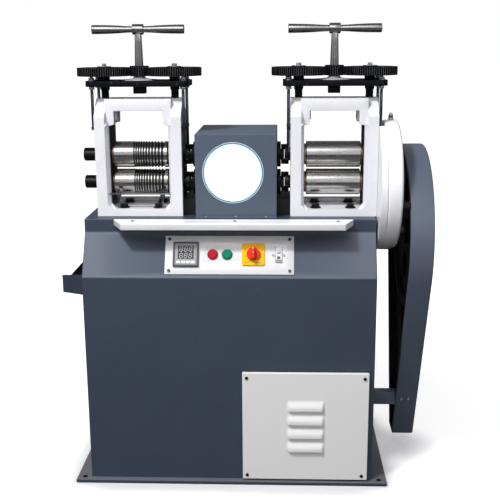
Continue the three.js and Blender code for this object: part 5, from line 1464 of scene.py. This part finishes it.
def pulleys():
    half, rim, radius, small = PULLEY_HALF, 206.0, PULLEY_RADIUS, MOTOR_PULLEY_RADIUS
    loop = rounded([(16.3, -half), (38, -half), (38, -5), (rim, -5), (rim, -half), (radius, -half),
                    *v_groove(radius), (radius, half), (rim, half), (rim, 5), (38, 5), (38, half),
                    (16.3, half)], 0.8, 2)
    bm = lathe(bmesh.new(), "X", [(r, PULLEY_X + t) for r, t in loop + loop[:1]], PULLEY, 128)
    # The driven pulley takes the near black iron: painted shade.
    piece = settle("driven_pulley_rim", bm, PULLEY_IRON_SHADED, "pulley_drive", ["driven_pulley"])
    holes = bmesh.new()
    for i in range(5):
        angle = 2 * math.pi * i / 5
        shaft(holes, "X", 42.0, PULLEY_X - 12, PULLEY_X + 12,
              (PULLEY[0] + 120 * math.cos(angle), PULLEY[1] + 120 * math.sin(angle)), 0.0, 48)
    piece.data = carved(piece.data, holes)
    smooth_shade(piece.data)
    left, right = reach("motor_pulley")[0][0], PULLEY_X + half
    profile = [(0, left), (14, left), (14, PULLEY_X - half), (small, PULLEY_X - half),
               *((r, PULLEY_X + t) for r, t in v_groove(small)),
               (small, right), (20, right), (18, right - 4), (0, right - 4)]
    # The motor pulley takes the same near black iron: painted shade.
    form("motor_pulley", lathe(bmesh.new(), "X", profile, MOTOR, 80, 0.8, 2), PULLEY_IRON_SHADED,
         "motor_drive")
    bm = bmesh.new()
    skin(bm, "X", two_circles(PULLEY, radius + BELT_PROUD, MOTOR, small + BELT_PROUD),
         [(0.0, PULLEY_X - 8.3), (0.0, PULLEY_X + 8.3), (10.8, PULLEY_X + 5.0),
          (10.8, PULLEY_X - 5.0)], True)
    form("drive_belt", bm, RUBBER)


# Light and floor
ROOM_RISE = [(0.0, 0.34), (0.05, 0.44), (0.10, 0.84), (0.40, 0.78), (0.52, 0.46), (0.90, 0.46),
             (0.97, 0.16), (1.0, 0.10)]
ROOM_SIDES = [(0.0, 0.9), (0.16, 1.0), (0.22, 0.20), (0.32, 0.20), (0.37, 1.0), (0.64, 1.0),
              (0.68, 0.15), (0.78, 0.15), (0.84, 0.9), (1.0, 0.7)]
ROOM_DEPTH = [(0.0, 1.0), (0.45, 1.0), (0.60, 0.42), (1.0, 0.34)]


def world_light():
    """White where the camera looks past the machine, and else a dim room with soft pale walls."""
    world = bpy.data.worlds.new("studio")
    bpy.context.scene.world = world
    sky = Tree(world)
    facing = sky.node("ShaderNodeTexCoord", {}, {}, "Generated")

    def ramp(axis, low, stops):
        """A factor that follows the stops along an axis, from its low end up to 1."""
        along = sky.node("ShaderNodeSeparateXYZ", {}, {"Vector": facing}, axis)
        if low:
            along = sky.node("ShaderNodeMapRange", {}, {"Value": along, "From Min": low})
        made = sky.node("ShaderNodeValToRGB", {}, {"Fac": along}, "Color")
        elements = made.out.node.color_ramp.elements
        while len(elements) < len(stops):
            elements.new(0.5)
        for element, (where, level) in zip(elements, stops):
            element.position = where
            element.color = (level, level, level * 1.02, 1.0)
        return made

    def product(first, second):
        return sky.node("ShaderNodeVectorMath", {"operation": "MULTIPLY"},
                        {"Vector": first, "Vector_001": second})

    walls = product(ramp("Z", 0.0, ROOM_RISE), ramp("X", -1.0, ROOM_SIDES))
    room = sky.tree.nodes["Background"]
    sky.feed(room.inputs["Color"], product(walls, ramp("Y", -1.0, ROOM_DEPTH)))
    paper = sky.node("ShaderNodeBackground", {}, {"Color": (1.0, 1.0, 1.0, 1.0)})
    sky.end_with("World Output", Sock(sky, room.outputs[0]), paper)


def area_light(name, where, target, size, power, glossy=True):
    data = bpy.data.lights.new(name, "AREA")
    data.shape = "RECTANGLE"
    data.size, data.size_y = size
    data.energy = power
    lamp = link(name, data)
    lamp.location = where
    lamp.rotation_mode = "QUATERNION"
    lamp.rotation_quaternion = (Vector(target) - Vector(where)).to_track_quat("-Z", "Y")
    lamp.visible_glossy = glossy


def floor():
    """White paper with a painted contact shadow: where the camera sees it, its glow dims close
    round the machine by ambient occlusion and brightens further out; to light that bounces off it,
    it is a dim grey.
    """
    bm = bmesh.new()
    bmesh.ops.create_circle(bm, cap_ends=True, radius=60.0, segments=96)
    mesh = bpy.data.meshes.new("floor")
    bm.to_mesh(mesh)
    bm.free()
    net = Net("floor_paper", Emission_Strength=1.0, Specular_IOR_Level=0.0)
    grain = net.noise(30.0, 3.0)
    away = net.node("ShaderNodeVectorMath", {"operation": "LENGTH"}, {"Vector": net.place}, "Value")
    contact_shadow_ao = net.node("ShaderNodeAmbientOcclusion", {"samples": 8}, {"Distance": 0.11}, "AO")
    paper = net.blend((0.74, 0.74, 0.745), (1.0, 1.0, 1.0), away.above(1.6, 2.4))
    mesh.materials.append(net.dress(
        # Painted contact shadow: the glow dims where the machine stands close by.
        Emission_Color=net.blend((0.30, 0.30, 0.31), paper, contact_shadow_ao.above(0.87, 0.26)),
        Base_Color=net.blend((0.42, 0.42, 0.425), (0.46, 0.46, 0.465), grain),
        Roughness=0.75 + grain * 0.1,
    ))
    shade = net.node("ShaderNodeBsdfDiffuse", {}, {"Color": (0.11, 0.11, 0.115, 1.0)})
    net.end_with("Material Output", shade, Sock(net, net.shader.outputs[0]))
    link("floor", mesh)


# The whole machine
base_plate()
cabinet()
access_cover()
work_rest()
side_tray()
for inside, finish in (("motor", MOTOR_PAINT), ("motor_base", IRON), ("lower_gear_shaft", STEEL_X),
                       ("upper_gear_shaft", STEEL_X), ("reducer_gear", STEEL_X),
                       ("pinion_shaft", STEEL_X)):
    coat_node(inside, finish)
control_panel()
digital_meter()
push_button("red", RED, "stop_button")
push_button("green", GREEN, "start_button")
switch()
breaker()
mill_head("left", 1)
mill_head("right", -1)
guide_bar()
gearbox()
reducer()
belt_guard()
pulleys()
floor()
world_light()
area_light("key", (-1.3, -1.9, 3.72), (0.0, -0.1, 0.75), (0.55, 0.45), 128.0, False)
area_light("low", (-0.5, -3.3, 0.95), (0.0, -0.1, 0.88), (2.2, 0.5), 12.0, False)
area_light("rear", (1.4, 3.0, 2.6), (0.0, 0.0, 0.7), (2.0, 1.6), 46.0, False)
area_light("sheen", (-0.8, -2.6, 3.4), (0.0, -0.1, 0.75), (2.6, 1.5), 42.0)
area_light("fill", (2.6, -3.0, 2.6), (0.1, 0.0, 0.7), (1.6, 1.2), 12.0)
